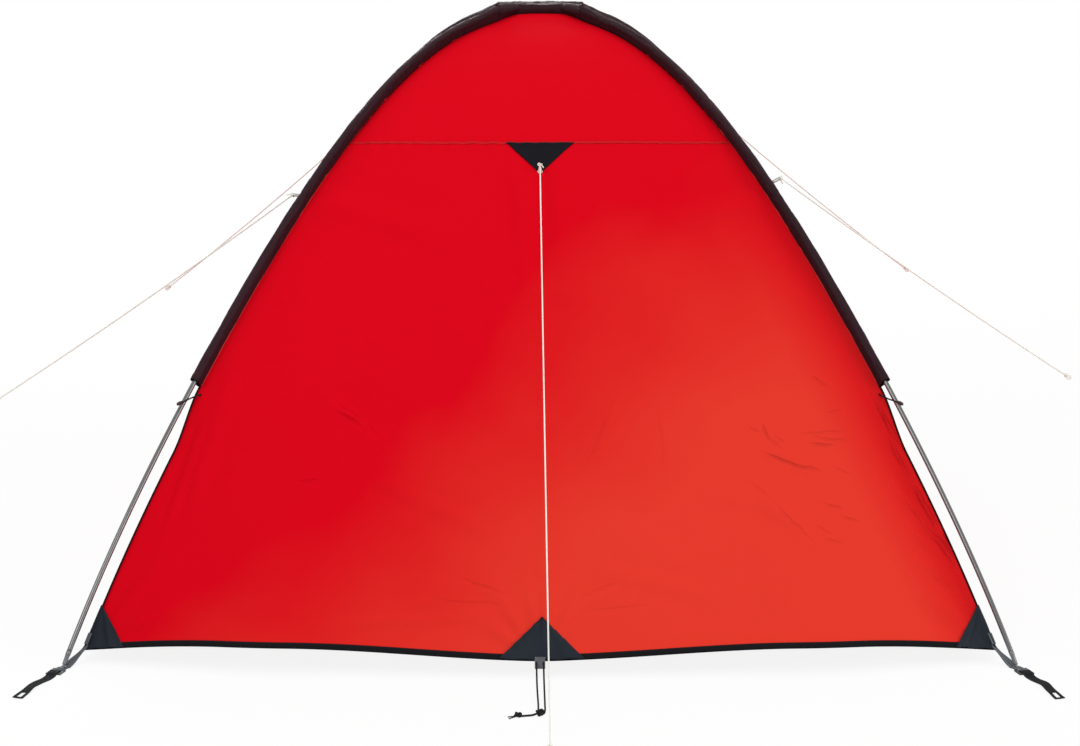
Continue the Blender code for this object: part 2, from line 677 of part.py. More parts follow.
def cornerHardware(tag, cover, line, atRear, signX, signY):
    """Strap with the pole's eyelet, ladder buckle and peg strap at one corner."""
    tip = cover.corner(cover.distance(HEM_SHARE), -FIT - PATCH_THICKNESS)
    tip = Vector((signX * tip.x, signY * tip.y, tip.z))
    foot = Vector((signX * FOOT_SPAN_X / 2, signY * FOOT_SPAN_Y / 2, WEBBING_GROUND_GAP))
    diagonal = Vector((signX * OUTWARD_X, signY * OUTWARD_Y, 0))
    acrossDiagonal = Vector((-diagonal.y, diagonal.x, 0))
    ahead = Vector((signX * math.sin(STRAP_TURN), signY * math.cos(STRAP_TURN), 0))
    acrossAhead = Vector((-ahead.y, ahead.x, 0))
    start = tip + diagonal * STRAP_SEAM_GAP - Vector((0, 0, WEBBING_THICKNESS))
    places = [(start, acrossDiagonal), (foot - diagonal * 0.012, acrossDiagonal),
              (foot + ahead * 0.004, acrossDiagonal + acrossAhead),
              (foot + ahead * STRAP_END_REACH, acrossAhead)]
    strap = ribbon(f"corner_strap_{tag}", places, WEBBING_WIDTH, WEBBING_THICKNESS, "grey_webbing")

    distance = line.length if atRear else 0.0
    place, along, up = line.frame(distance)
    mesh = bmesh.new()
    bmesh.ops.create_cone(mesh, cap_ends=True, segments=12, radius1=TIP_PIN_DIAMETER / 2 + EYELET_CLEARANCE,
                          radius2=TIP_PIN_DIAMETER / 2 + EYELET_CLEARANCE, depth=0.03)
    turn = Vector((0, 0, 1)).rotation_difference(along).to_matrix().to_4x4()
    bmesh.ops.transform(mesh, matrix=turn, verts=mesh.verts[:])
    bmesh.ops.translate(mesh, vec=place, verts=mesh.verts[:])
    combine(strap, cutter(f"eyelet_{tag}", mesh), "DIFFERENCE")

    pivot = foot + ahead * (STRAP_END_REACH + BUCKLE_BAR / 2 + BUCKLE_BAR_CLEARANCE)
    turnZ = math.atan2(ahead.y, ahead.x) - math.pi / 2
    halfBar = BUCKLE_BAR / 2
    half = BUCKLE_WIDTH / 2
    base = WEBBING_GROUND_GAP
    pivot.z = 0
    buckle = block(f"buckle_{tag}", (-half, -halfBar, base), (half, BUCKLE_LENGTH - halfBar, base + BUCKLE_THICKNESS),
                   turnZ, pivot, "black_plastic")
    slot = (BUCKLE_LENGTH - 3 * BUCKLE_BAR) / 2
    for index in range(2):
        low = halfBar + index * (slot + BUCKLE_BAR)
        hole = block(f"buckle_slot_{tag}_{index}", (-half + BUCKLE_RAIL, low, -0.01),
                     (half - BUCKLE_RAIL, low + slot, 0.02), turnZ, pivot, "black_plastic")
        hole.hide_render = True
        hole.display_type = "WIRE"
        combine(buckle, hole, "DIFFERENCE")

    top = base + BUCKLE_THICKNESS + FIT
    middle = halfBar + slot + halfBar
    far = BUCKLE_LENGTH - halfBar
    lane = [(middle, top), (far + 0.002, top), (far + 0.012, base), (far + PEG_STRAP_LENGTH, base)]
    places = [(Vector((pivot.x, pivot.y, 0)) + ahead * run + Vector((0, 0, height)), acrossAhead)
              for run, height in lane]
    pegStrap = ribbon(f"peg_strap_{tag}", places, PEG_STRAP_WIDTH, WEBBING_THICKNESS, "grey_webbing")
    end = far + PEG_STRAP_LENGTH
    slit = block(f"peg_slot_{tag}", (-PEG_SLOT_WIDTH / 2, end - PEG_SLOT_FROM_END - PEG_SLOT_LENGTH, -0.01),
                 (PEG_SLOT_WIDTH / 2, end - PEG_SLOT_FROM_END, 0.01), turnZ, pivot, "grey_webbing")
    slit.hide_render = True
    slit.display_type = "WIRE"
    combine(pegStrap, slit, "DIFFERENCE")
    return pivot, acrossAhead


def legToggle(tag, cover, signX, signY):
    """The cord that holds the cover's edge to the bare pole, with a flat toggle on its end. It
    passes beside the pole, on the side towards the end panel."""
    distance = cover.distance(TOGGLE_SHARE)
    edge = cover.corner(distance)
    place, along, up = cover.line.frame(cover.line.length / 2 + distance)
    beside = Vector((-OUTWARD_Y, OUTWARD_X, 0))
    start = edge + beside * (POLE_DIAMETER / 2 + TOGGLE_CORD_DIAMETER / 2 + TOGGLE_CLEARANCE)
    direction = up * math.cos(TOGGLE_SLANT) + along * math.sin(TOGGLE_SLANT)
    side = beside
    flip = Vector((signX, signY, 1))
    aim = cover.corner(distance + 0.05)
    inward = Vector((-1, 0, 0))
    normal = (aim - edge).cross(inward).normalized()
    if normal.y < 0:
        normal = -normal
    facing = direction.dot(normal)
    rim = TOGGLE_CORD_DIAMETER / 2 * math.sqrt(1 - facing ** 2)
    root = ((start - edge).dot(normal) - rim - FIT) / facing
    length = TOGGLE_CORD_LENGTH + root
    start -= direction * root
    start, direction, side = (Vector([v[k] * flip[k] for k in range(3)]) for v in (start, direction, side))
    third = direction.cross(side)
    mesh = bmesh.new()
    profile = [(0, 1, 1), (length, 1, 1), (length, 2.4, 1.4), (length + TOGGLE_LENGTH, 2.4, 1.4)]
    rings = []
    for run, wide, thick in profile:
        ring = []
        for k in range(ROUND_SIDES):
            angle = 2 * math.pi * (k + 0.5) / ROUND_SIDES
            ring.append(mesh.verts.new(start + direction * run
                                       + side * math.cos(angle) * thick * TOGGLE_CORD_DIAMETER / 2
                                       + third * math.sin(angle) * wide * TOGGLE_CORD_DIAMETER / 2))
        rings.append(ring)
    for first, second in zip(rings, rings[1:]):
        for k in range(ROUND_SIDES):
            after = (k + 1) % ROUND_SIDES
            mesh.faces.new((first[k], first[after], second[after], second[k]))
    mesh.faces.new(rings[0])
    mesh.faces.new(rings[-1])
    objectFrom(f"leg_toggle_{tag}", mesh, "black_plastic", smooth=False)
    return start, direction


def smoothRoute(points, count):
    """Points evenly spread along a smooth curve through the route's own points."""
    fine = []
    last = len(points) - 1
    for k in range(last):
        p0, p1 = Vector(points[max(0, k - 1)]), Vector(points[k])
        p2, p3 = Vector(points[k + 1]), Vector(points[min(last, k + 2)])
        for step in range(24):
            t = step / 24
            fine.append(0.5 * ((2 * p1) + (p2 - p0) * t + (2 * p0 - 5 * p1 + 4 * p2 - p3) * t * t
                               + (3 * p1 - p0 - 3 * p2 + p3) * t ** 3))
    fine.append(Vector(points[-1]))
    run = [0.0]
    for a, b in zip(fine, fine[1:]):
        run.append(run[-1] + (b - a).length)
    result = []
    index = 0
    for step in range(count):
        target = run[-1] * step / (count - 1)
        while index < len(run) - 2 and run[index + 1] < target:
            index += 1
        part = (target - run[index]) / (run[index + 1] - run[index])
        result.append(fine[index].lerp(fine[index + 1], min(1.0, part)))
    return result


def cordObject(name, points, diameter, slot):
    data = bpy.data.curves.new(name, "CURVE")
    data.dimensions = "3D"
    data.bevel_depth = diameter / 2
    data.bevel_resolution = 2
    data.use_fill_caps = True
    spline = data.splines.new("POLY")
    spline.points.add(len(points) - 1)
    for item, point in zip(spline.points, points):
        item.co = (*point, 1.0)
    data.materials.append(material(slot))
    made = bpy.data.objects.new(name, data)
    bpy.context.collection.objects.link(made)
    return made


def taut(start, knot, end):
    """A guy's points: from the cloth to its knot, then along a shallow sag to its end."""
    points = [start]
    for k in range(GUY_POINTS):
        t = k / (GUY_POINTS - 1)
        points.append(knot.lerp(end, t) - Vector((0, 0, GUY_SAG * 4 * t * (1 - t))))
    return points


def guys(panel, cover):
    for name, (share, rise, aside) in GUY_KNOTS.items():
        signX = -1 if name.endswith("left") else 1
        signY = -1 if "front" in name else 1
        place, along, up = cover.line.frame(cover.line.length / 2 + cover.distance(share))
        away = up * rise + cover.line.across * aside
        start = place + away.normalized() * (SLEEVE_DIAMETER / 2 + GUY_START_GAP)
        knot = place + away
        start, knot = (Vector((v.x * signX, v.y * signY, v.z)) for v in (start, knot))
        cordObject(name, taut(start, knot, knot + Vector(GUY_RUNS[name])), GUY_DIAMETER, "cream_cord")
    height = panel.seamHeight - 2 * FIT - GUY_PATCH_DEPTH
    tip = panel.planePoint(0, height)
    start = tip + panel.outward() * (FIT + PATCH_THICKNESS + GUY_START_GAP)
    knot = tip + panel.outward() * CENTRE_GUY_STANDOFF
    cordObject("guy_front_centre", taut(start, knot, Vector(CENTRE_GUY_END)), GUY_DIAMETER, "cream_cord")
    cordObject("peg_cord_front", smoothRoute(PEG_CORD_ROUTE, PEG_CORD_POINTS), PEG_CORD_DIAMETER, "dark_cord")


# Door zip

def zipSlider(panel, topHeight):
    """The slider on the fixed side of the door's left edge, its bridge, and the pull that hangs
    from the bridge. The pull's end bar lies under the bridge, which stands in the pull's eye."""
    top = panel.planePoint(-doorHalfWidth(panel, topHeight, topHeight), topHeight)
    foot = panel.planePoint(-doorHalfWidth(panel, HEM_CENTRE_HEIGHT, topHeight), HEM_CENTRE_HEIGHT)
    upward = (top - foot).normalized()
    outward = panel.outward()
    sideways = outward.cross(upward)
    if sideways.x > 0:
        sideways = -sideways
    place = foot + upward * (SLIDER_FROM_HEM + SLIDER_LENGTH / 2) + sideways * ZIP_OFFSET

    def slab(name, low, high, slot):
        """A box from low to high, each (along the zip, across it, off the cloth)."""
        mesh = bmesh.new()
        bmesh.ops.create_cube(mesh, size=1.0)
        for vert in mesh.verts:
            spot = [low[k] + (vert.co[k] + 0.5) * (high[k] - low[k]) for k in range(3)]
            vert.co = place + upward * spot[0] + sideways * spot[1] + outward * spot[2]
        return objectFrom(name, mesh, slot, smooth=False)

    def tool(name, low, high):
        made = slab(name, low, high, "metal")
        made.hide_render = True
        made.display_type = "WIRE"
        return made

    halfLength, halfWidth = SLIDER_LENGTH / 2, SLIDER_WIDTH / 2
    roof = FIT + SLIDER_THICKNESS
    axisRise = roof + BRIDGE_CLEARANCE + PULL_THICKNESS / 2
    slider = slab("zip_slider", (-halfLength, -halfWidth, FIT), (halfLength, halfWidth, roof), "metal")
    reach = BRIDGE_LENGTH / 2
    inner = reach - BRIDGE_WALL
    ceiling = axisRise + PULL_THICKNESS / 2 + BRIDGE_CLEARANCE
    combine(slider, tool("bridge", (-reach, -BRIDGE_WIDTH / 2, FIT), (reach, BRIDGE_WIDTH / 2, ceiling + BRIDGE_WALL)),
            "UNION")
    combine(slider, tool("bridge_gap", (-inner, -halfWidth - 0.01, roof), (inner, halfWidth + 0.01, ceiling)),
            "DIFFERENCE")
    half = PULL_THICKNESS / 2
    pull = slab("zip_pull", (-PULL_LENGTH, -PULL_WIDTH / 2, axisRise - half), (half, PULL_WIDTH / 2, axisRise + half),
                "metal")
    combine(pull, tool("pull_eye", (-half - PULL_EYE_LENGTH, -PULL_EYE_WIDTH / 2, axisRise - 0.01),
                       (-half, PULL_EYE_WIDTH / 2, axisRise + 0.01)), "DIFFERENCE")
    return foot, upward, sideways, place + outward * axisRise


# Inner tent

class InnerShape:
    """The inner tent's cloth: like the cover, but smaller, and standing on its floor tray."""

    def corner(self, share, depth=0.0):
        rise = INNER_CROWN_HEIGHT - INNER_TRAY_HEIGHT
        slope = 1.6
        thin = depth * slope
        return Vector((share * INNER_FLOOR_X / 2 - thin * OUTWARD_X, share * INNER_FLOOR_Y / 2 - thin * OUTWARD_Y,
                       INNER_TRAY_HEIGHT + FIT + rise * (1 - poleFall(share)) - (depth if share < INNER_DOOR_TOP_SHARE else 0)))

    def shareAt(self, height):
        low, high = 0.0, 1.0
        for _ in range(40):
            middle = (low + high) / 2
            if self.corner(middle).z > height:
                low = middle
            else:
                high = middle
        return low

    def planeReach(self, height, depth=0.0):
        top = self.corner(INNER_DOOR_TOP_SHARE)
        base = self.corner(1.0)
        part = (top.z - height) / (top.z - base.z)
        return top.y + (base.y - top.y) * part - depth * 1.6


def innerDoorHalfWidth(height, doorTop, sill):
    part = (doorTop - height) / (doorTop - sill)
    part = min(1.0, max(0.0, part))
    return INNER_DOOR_TOP_HALF_WIDTH + (INNER_DOOR_HEM_HALF_WIDTH - INNER_DOOR_TOP_HALF_WIDTH) * part


def innerCanopy():
    """Walls and roof as one sewn body: left, front and right walls, and the rear wall round the door."""
    shape = InnerShape()
    shares = INNER_ROWS + (INNER_DOOR_TOP_SHARE,) + INNER_LOWER_ROWS + (1.0,)
    doorTop = shape.corner(INNER_DOOR_TOP_SHARE).z
    sill = INNER_TRAY_HEIGHT + FIT + INNER_DOOR_SILL
    allShares = list(shares[:-1]) + [shape.shareAt(sill), 1.0]
    topIndex = allShares.index(INNER_DOOR_TOP_SHARE)
    sillIndex = len(allShares) - 2
    grids = []
    for depth in (0.0, INNER_FABRIC):
        grid = []
        for index, share in enumerate(allShares):
            c = shape.corner(share, depth)
            low = index >= topIndex
            reach = shape.planeReach(c.z, depth) if low else c.y
            door = innerDoorHalfWidth(c.z, doorTop, sill)
            flat = max(door + 0.01, c.x * INNER_FLAT_SHARE)
            if index < topIndex:
                door = min(door, c.x * 0.5)
                flat = c.x * 0.75
            row = [Vector((-door, reach, c.z)), Vector((-flat, reach, c.z)), Vector((-c.x, c.y, c.z)),
                   Vector((-c.x, -c.y, c.z)), Vector((c.x, -c.y, c.z)), Vector((c.x, c.y, c.z)),
                   Vector((flat, reach, c.z)), Vector((door, reach, c.z))]
            grid.append(row)
        grids.append(grid)
    closedBand = [index for index in range(len(allShares) - 1) if index < topIndex or index >= sillIndex]
    mesh = bmesh.new()
    layersVerts = [[[mesh.verts.new(point) for point in row] for row in grid] for grid in grids]
    columns = len(grids[0][0])
    edges = {}

    def cell(keys):
        for layer, order in ((0, keys), (1, tuple(reversed(keys)))):
            mesh.faces.new([layersVerts[layer][i][j] for i, j in (order[0], order[1], order[2])])
            mesh.faces.new([layersVerts[layer][i][j] for i, j in (order[0], order[2], order[3])])
        for k in range(4):
            edges[(keys[k], keys[(k + 1) % 4])] = True

    for i in range(len(allShares) - 1):
        for j in range(columns - 1):
            cell(((i, j), (i, j + 1), (i + 1, j + 1), (i + 1, j)))
        if i in closedBand:
            cell(((i, columns - 1), (i, 0), (i + 1, 0), (i + 1, columns - 1)))
    for layer in (0, 1):
        mesh.faces.new(layersVerts[layer][0])
    for j in range(columns):
        edges[((0, (j + 1) % columns), (0, j))] = True
    for (start, end) in edges:
        if (end, start) not in edges:
            top, bottom = layersVerts
            mesh.faces.new((top[end[0]][end[1]], top[start[0]][start[1]], bottom[start[0]][start[1]]))
            mesh.faces.new((top[end[0]][end[1]], bottom[start[0]][start[1]], bottom[end[0]][end[1]]))
    canopy = objectFrom("inner_canopy", mesh, "inner_fabric")
    tether = bmesh.new()
    low = shape.corner(INNER_ROWS[0]).z - INNER_FABRIC * 0.8
    high = CROWN_HEIGHT - crossingLift - POLE_DIAMETER / 2 - FIT
    bmesh.ops.create_cone(tether, cap_ends=True, segments=ROUND_SIDES, radius1=HANGER_DIAMETER / 2,
                          radius2=HANGER_DIAMETER / 2, depth=high - low)
    bmesh.ops.translate(tether, vec=(0, 0, (high + low) / 2), verts=tether.verts[:])
    combine(canopy, cutter("hanger", tether), "UNION")

    doorLayers = []
    for depth in (0.0, INNER_FABRIC):
        corners = []
        for height, inset in ((doorTop - 2 * FIT, FIT), (sill + 2 * FIT, FIT)):
            half = innerDoorHalfWidth(height, doorTop, sill) - inset * 2
            reach = shape.planeReach(height, depth)
            corners.append([Vector((-half, reach, height)), Vector((half, reach, height))])
        doorLayers.append(corners)
    sheet("inner_door", doorLayers[0], doorLayers[1], "inner_fabric")
    return shape.planeReach(sill + 2 * FIT), sill + 2 * FIT


def innerFloor():
    """A floor tray: a flat groundsheet with its edges turned up."""
    mesh = bmesh.new()
    x, y = INNER_FLOOR_X / 2, INNER_FLOOR_Y / 2
    wall = INNER_FABRIC * 1.2
    loops = []
    for half_x, half_y, z in ((x, y, 0.0), (x, y, INNER_TRAY_HEIGHT), (x - wall, y - wall, INNER_TRAY_HEIGHT),
                              (x - wall, y - wall, wall)):
        loops.append([mesh.verts.new((sx * half_x, sy * half_y, z)) for sx, sy in ((-1, -1), (1, -1), (1, 1), (-1, 1))])
    for first, second in zip(loops, loops[1:]):
        for k in range(4):
            mesh.faces.new((first[k], first[(k + 1) % 4], second[(k + 1) % 4], second[k]))
    mesh.faces.new(loops[0])
    mesh.faces.new(loops[-1])
    objectFrom("inner_floor", mesh, "floor_fabric", smooth=False)


clearScene()

crossingLift = POLE_DIAMETER / 2 + CROSSING_CLEARANCE / 2
lineA = PoleLine(1, -crossingLift)
lineB = PoleLine(-1, crossingLift)
seamA = PoleLine(1, 0.0)
seamB = PoleLine(-1, 0.0)
cover = Cover(seamA)

poleSections("a", lineA)
poleSections("b", lineB)
poleTips(lineA, "pole_tip_front_left", "pole_tip_rear_right")
poleTips(lineB, "pole_tip_front_right", "pole_tip_rear_left")
sleeves(seamA, "sleeve_front_left", "sleeve_rear_right")
sleeves(seamB, "sleeve_front_right", "sleeve_rear_left")
crownSleeve(seamA, seamB)

hemCorner = cover.corner(cover.distance(HEM_SHARE))
front = Panel(cover, "y", -1, hemCorner.y + END_HEM_BOW)
rear = Panel(cover, "y", 1, hemCorner.y + END_HEM_BOW)
left = Panel(cover, "x", -1, hemCorner.x + SIDE_HEM_BOW)
right = Panel(cover, "x", 1, hemCorner.x + SIDE_HEM_BOW)
upperRows = cover.rows(CROWN_SHARE, SEAM_SHARE)
lowerRows = cover.rows(SEAM_SHARE, HEM_SHARE)
lowerRows[0] += FIT
sideShares = tuple(share if abs(share) != PATCH_HEM_SHARE_END else math.copysign(PATCH_HEM_SHARE_SIDE, share)
                   for share in LOWER_SHARES)
gridPanel("fly_front_upper", front, upperRows, (-1.0, 1.0), "red_fabric", False)
gridPanel("fly_front_lower", front, lowerRows, LOWER_SHARES, "red_fabric", True)
gridPanel("fly_rear_upper", rear, upperRows, (-1.0, 1.0), "red_fabric", False)
sideRows = upperRows[:-1] + [cover.seam] + lowerRows[1:]
gridPanel("fly_left", left, sideRows, sideShares, "red_fabric", True)
gridPanel("fly_right", right, sideRows, sideShares, "red_fabric", True)
doorTopHeight = rearLower(rear, lowerRows)

cornerPatch("corner_patch_front_left", front, left, -1, -1)
cornerPatch("corner_patch_front_right", front, right, 1, -1)
cornerPatch("corner_patch_rear_left", rear, left, -1, 1)
cornerPatch("corner_patch_rear_right", rear, right, 1, 1)
seamHeight = front.seamHeight - 2 * FIT
facePlate("guy_patch_front",
          [front.planePoint(-GUY_PATCH_HALF_WIDTH, seamHeight), front.planePoint(GUY_PATCH_HALF_WIDTH, seamHeight),
           front.planePoint(0.004, seamHeight - GUY_PATCH_DEPTH), front.planePoint(-0.004, seamHeight - GUY_PATCH_DEPTH)],
          front.outward(), "slate_fabric", FIT, PATCH_THICKNESS)

pivots = {}
pivots["front_left"] = cornerHardware("front_left", cover, lineA, False, -1, -1)
pivots["front_right"] = cornerHardware("front_right", cover, lineB, False, 1, -1)
pivots["rear_left"] = cornerHardware("rear_left", cover, lineB, True, -1, 1)
pivots["rear_right"] = cornerHardware("rear_right", cover, lineA, True, 1, 1)
toggles = {}
toggles["front_left"] = legToggle("front_left", cover, -1, -1)
toggles["front_right"] = legToggle("front_right", cover, 1, -1)
toggles["rear_left"] = legToggle("rear_left", cover, -1, 1)
toggles["rear_right"] = legToggle("rear_right", cover, 1, 1)

guys(front, cover)
zipFoot, zipUp, zipSide, pullHinge = zipSlider(rear, doorTopHeight)
innerHinge = innerCanopy()
innerFloor()


def told(vector):
    return tuple(round(value, 5) for value in vector)


hingeTop = rear.planePoint(doorHalfWidth(rear, doorTopHeight, doorTopHeight), doorTopHeight)
hingeFoot = rear.planePoint(DOOR_HEM_HALF_WIDTH, HEM_CENTRE_HEIGHT)
print("hem corner", told(hemCorner))
print("door hinge", told(hingeFoot), told((hingeTop - hingeFoot).normalized()), "length", (hingeTop - hingeFoot).length)
print("zip", told(zipFoot), told(zipUp), "pull", told(pullHinge), told(zipSide))
print("inner hinge", innerHinge)
for tag, (pivot, axis) in pivots.items():
    print("buckle", tag, told(pivot), told(axis))
for tag, (start, axis) in toggles.items():
    print("toggle", tag, told(start), told(axis))
for share in (0.012, 0.465, 0.52, 0.758, 0.793, 0.828, 0.915, 0.95, 0.972, 0.982):
    spot = cover.corner(cover.distance(share))
    print("corner", share, told(spot), "pole", told(seamA.frame(seamA.distanceOf(share))[0]))
print("rows", told(upperRows), told(lowerRows))
print("pole length", round(lineA.length, 4), "seam height", round(front.seamHeight, 4))
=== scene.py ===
# Lightweight tent, pitched, with its blank end to the camera. Metres, +Z up.
import bisect
import json
import math

import bmesh
import bpy
from mathutils import Matrix, Vector, noise


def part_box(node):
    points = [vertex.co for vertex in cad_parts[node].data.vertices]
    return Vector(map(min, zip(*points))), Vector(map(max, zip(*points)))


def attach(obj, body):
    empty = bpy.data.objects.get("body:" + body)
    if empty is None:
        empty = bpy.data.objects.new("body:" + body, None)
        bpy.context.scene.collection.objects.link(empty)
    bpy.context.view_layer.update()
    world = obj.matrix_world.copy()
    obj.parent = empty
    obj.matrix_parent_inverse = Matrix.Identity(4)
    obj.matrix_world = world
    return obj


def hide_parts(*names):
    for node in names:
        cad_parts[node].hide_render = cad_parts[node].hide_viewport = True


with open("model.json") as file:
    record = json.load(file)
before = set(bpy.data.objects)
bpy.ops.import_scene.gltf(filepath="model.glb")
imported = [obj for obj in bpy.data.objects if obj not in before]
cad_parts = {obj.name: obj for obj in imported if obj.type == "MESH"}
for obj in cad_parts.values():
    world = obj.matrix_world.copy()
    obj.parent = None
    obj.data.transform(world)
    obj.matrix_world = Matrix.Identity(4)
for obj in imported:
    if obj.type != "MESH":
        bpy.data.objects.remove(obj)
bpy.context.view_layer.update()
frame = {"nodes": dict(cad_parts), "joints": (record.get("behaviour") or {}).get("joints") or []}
joints = {joint["name"]: joint for joint in frame["joints"]}
print("frame loaded")

cornerTags = {"front_left": (-1, -1), "front_right": (1, -1), "rear_left": (-1, 1), "rear_right": (1, 1)}
skyward = Vector((0, 0, 1))
rightward = Vector((1, 0, 0))


def addObject(name, data):
    made = bpy.data.objects.new(name, data)
    bpy.context.scene.collection.objects.link(made)
    return made


# Camera

cameraPlan = {"place": (0.0, -5.65, 1.24), "tiltDown": 9.22, "lens": 88.5, "sensor": 36.0}


def makeCamera():
    data = bpy.data.cameras.new("camera")
    data.lens = cameraPlan["lens"]
    data.sensor_fit = "HORIZONTAL"
    data.sensor_width = cameraPlan["sensor"]
    camera = addObject("camera", data)
    turn = Matrix.Rotation(math.radians(90 - cameraPlan["tiltDown"]), 4, "X")
    camera.matrix_world = Matrix.Translation(cameraPlan["place"]) @ turn
    bpy.context.scene.camera = camera


makeCamera()
print("camera")


# Node helpers

def fillInputs(tree, node, inputs):
    # each input, by name or number, is a socket to link or a value to set
    for key, value in inputs.items():
        if isinstance(value, bpy.types.NodeSocket):
            tree.links.new(value, node.inputs[key])
        elif value is not None:
            node.inputs[key].default_value = value


def addNode(tree, kind, inputs, **settings):
    made = tree.nodes.new("ShaderNode" + kind)
    for key, value in settings.items():
        setattr(made, key, value)
    fillInputs(tree, made, inputs)
    return made.outputs


def maths(tree, operation, *values):
    return addNode(tree, "Math", dict(enumerate(values)), operation=operation)[0]


def times(tree, first, second):
    return maths(tree, "MULTIPLY", first, second)


def scaledSum(tree, first, second, third):
    return maths(tree, "MULTIPLY_ADD", first, second, third)


def mixColour(tree, factor, first, second):
    first, second = ((*value, 1.0) if isinstance(value, tuple) else value for value in (first, second))
    return addNode(tree, "Mix", {0: factor, 6: first, 7: second}, data_type="RGBA")[2]


def newMaterial(name):
    made = bpy.data.materials.new(name)
    made.use_nodes = True
    tree = made.node_tree
    places = addNode(tree, "TexCoord", {})
    return made, tree, tree.nodes["Principled BSDF"], places["Object"], places["UV"]


def noiseValue(tree, vector, scale, detail=2.0):
    return addNode(tree, "TexNoise", {"Vector": vector, "Scale": scale, "Detail": detail})["Fac"]


def stretched(tree, vector, scale):
    return addNode(tree, "Mapping", {"Vector": vector, "Scale": scale})[0]


def ramped(tree, value, low, high, toLow=0.0, toHigh=1.0):
    return addNode(tree, "MapRange", {"Value": value, "From Min": low, "From Max": high,
                                      "To Min": toLow, "To Max": toHigh})[0]


def separated(tree, vector):
    return addNode(tree, "SeparateXYZ", {0: vector})


def bumpFrom(tree, shader, height, distance, strength=1.0, after=None):
    bump = addNode(tree, "Bump", {"Height": height, "Distance": distance, "Strength": strength, "Normal": after})[0]
    tree.links.new(bump, shader.inputs["Normal"])
    return bump


# Floor, world and lamps

floorPlan = {"size": 120.0, "grey": 0.88, "whiteNear": 0.88, "fadeFrom": 1.9, "fadeTo": 4.5}
worldPlan = {"ambient": 0.58}
lampPlans = {          # place, size, power, what it is turned to, tint
    "key": ((-2.6, -4.6, 3.9), 2.6, 72.0, (0.0, -0.9, 0.5), (1.0, 1.0, 1.0)),
    "fill": ((4.6, -3.4, 2.0), 3.0, 79.0, (0.3, -0.9, 0.3), (1.0, 0.97, 0.94)),
    "top": ((0.0, 0.8, 5.2), 3.4, 58.0, (0.0, 0.0, 0.6), (1.0, 1.0, 1.0)),
    "spark": ((0.3, -2.7, 4.8), 0.45, 26.0, (0.0, -0.9, 0.3), (1.0, 1.0, 1.0)),
    "back": ((-1.5, 5.4, 2.8), 3.0, 95.0, (0.0, 0.8, 0.4), (1.0, 1.0, 1.0)),
}


def seenRays(tree):
    # 1 for what the camera, a gloss or a clear surface sees, 0 for light on the object
    path = addNode(tree, "LightPath", {})
    total = maths(tree, "ADD", path["Is Camera Ray"], path["Is Glossy Ray"])
    return maths(tree, "MINIMUM", maths(tree, "ADD", total, path["Is Transmission Ray"]), 1.0)


def makeFloor():
    mesh = bmesh.new()
    bmesh.ops.create_grid(mesh, x_segments=1, y_segments=1, size=floorPlan["size"] / 2)
    data = bpy.data.meshes.new("floor")
    mesh.to_mesh(data)
    mesh.free()
    floor = addObject("floor", data)
    made = bpy.data.materials.new("studioFloor")
    made.use_nodes = True
    tree = made.node_tree
    tree.nodes.clear()
    matt = addNode(tree, "BsdfDiffuse", {"Color": (floorPlan["grey"],) * 3 + (1.0,)})[0]
    glow = addNode(tree, "Emission", {"Color": (1.0, 1.0, 1.0, 1.0), "Strength": 1.0})[0]
    away = addNode(tree, "VectorMath", {0: addNode(tree, "TexCoord", {})["Object"]}, operation="LENGTH")["Value"]
    white = ramped(tree, away, floorPlan["fadeFrom"], floorPlan["fadeTo"], floorPlan["whiteNear"])
    blend = addNode(tree, "MixShader", {0: times(tree, white, seenRays(tree)), 1: matt, 2: glow})[0]
    addNode(tree, "OutputMaterial", {"Surface": blend})
    data.materials.append(made)


def makeWorld():
    world = bpy.data.worlds.new("studio")
    bpy.context.scene.world = world
    world.use_nodes = True
    tree = world.node_tree
    strength = ramped(tree, seenRays(tree), 0.0, 1.0, worldPlan["ambient"], 1.0)
    fillInputs(tree, tree.nodes["Background"], {"Color": (1.0, 1.0, 1.0, 1.0), "Strength": strength})
    bpy.context.scene.view_settings.view_transform = "Standard"


def makeLamps():
    for name, (place, size, power, aim, tint) in lampPlans.items():
        data = bpy.data.lights.new(name, "AREA")
        data.shape, data.size, data.energy, data.color = "DISK", size, power, tint
        lamp = addObject(name, data)
        lamp.location = place
        lamp.rotation_euler = (Vector(aim) - Vector(place)).to_track_quat("-Z", "Y").to_euler()


makeFloor()
makeWorld()
makeLamps()
print("floor, world and lamps")


# Finishes

clothFinishes = {      # two colours, thread pitch and depth of the weave in metres, roughness, gloss, depth of creases
    # for the red nylons the second colour is the paler, warmer tone of the painted light
    "redNylon": ((0.625, 0.0020, 0.0095), (0.700, 0.038, 0.023), 0.0007, 0.00004, 0.55, 0.004, 0.00035),
    "frontNylon": ((0.625, 0.0020, 0.0095), (0.700, 0.038, 0.023), 0.0007, 0.00004, 0.55, 0.004, 0.00035),
    "blackNylon": ((0.022, 0.0080, 0.0115), (0.030, 0.0110, 0.0155), 0.0006, 0.00005, 0.42, 0.06, 0.0007),
    "slateNylon": ((0.013, 0.017, 0.023), (0.021, 0.027, 0.036), 0.0010, 0.00008, 0.58, 0.06, 0.0006),
    "darkNylon": ((0.0032, 0.0030, 0.0055), (0.0060, 0.0056, 0.0090), 0.0010, 0.00008, 0.58, 0.05, 0.0005),
    "innerCloth": ((0.56, 0.57, 0.58), (0.50, 0.51, 0.53), 0.0009, 0.00005, 0.78, 0.25, 0.0004),
    "floorCloth": ((0.040, 0.046, 0.056), (0.032, 0.037, 0.045), 0.0010, 0.00006, 0.45, 0.35, 0.0005),
}
# painted light: the red turns paler and warmer towards the lower right and stays deep at the top, standing in for how
# light and sheen fall
redPaintedLight = (1.13, 1.44, -1.90)          # level of the red's change of colour, and its slopes aside and upwards
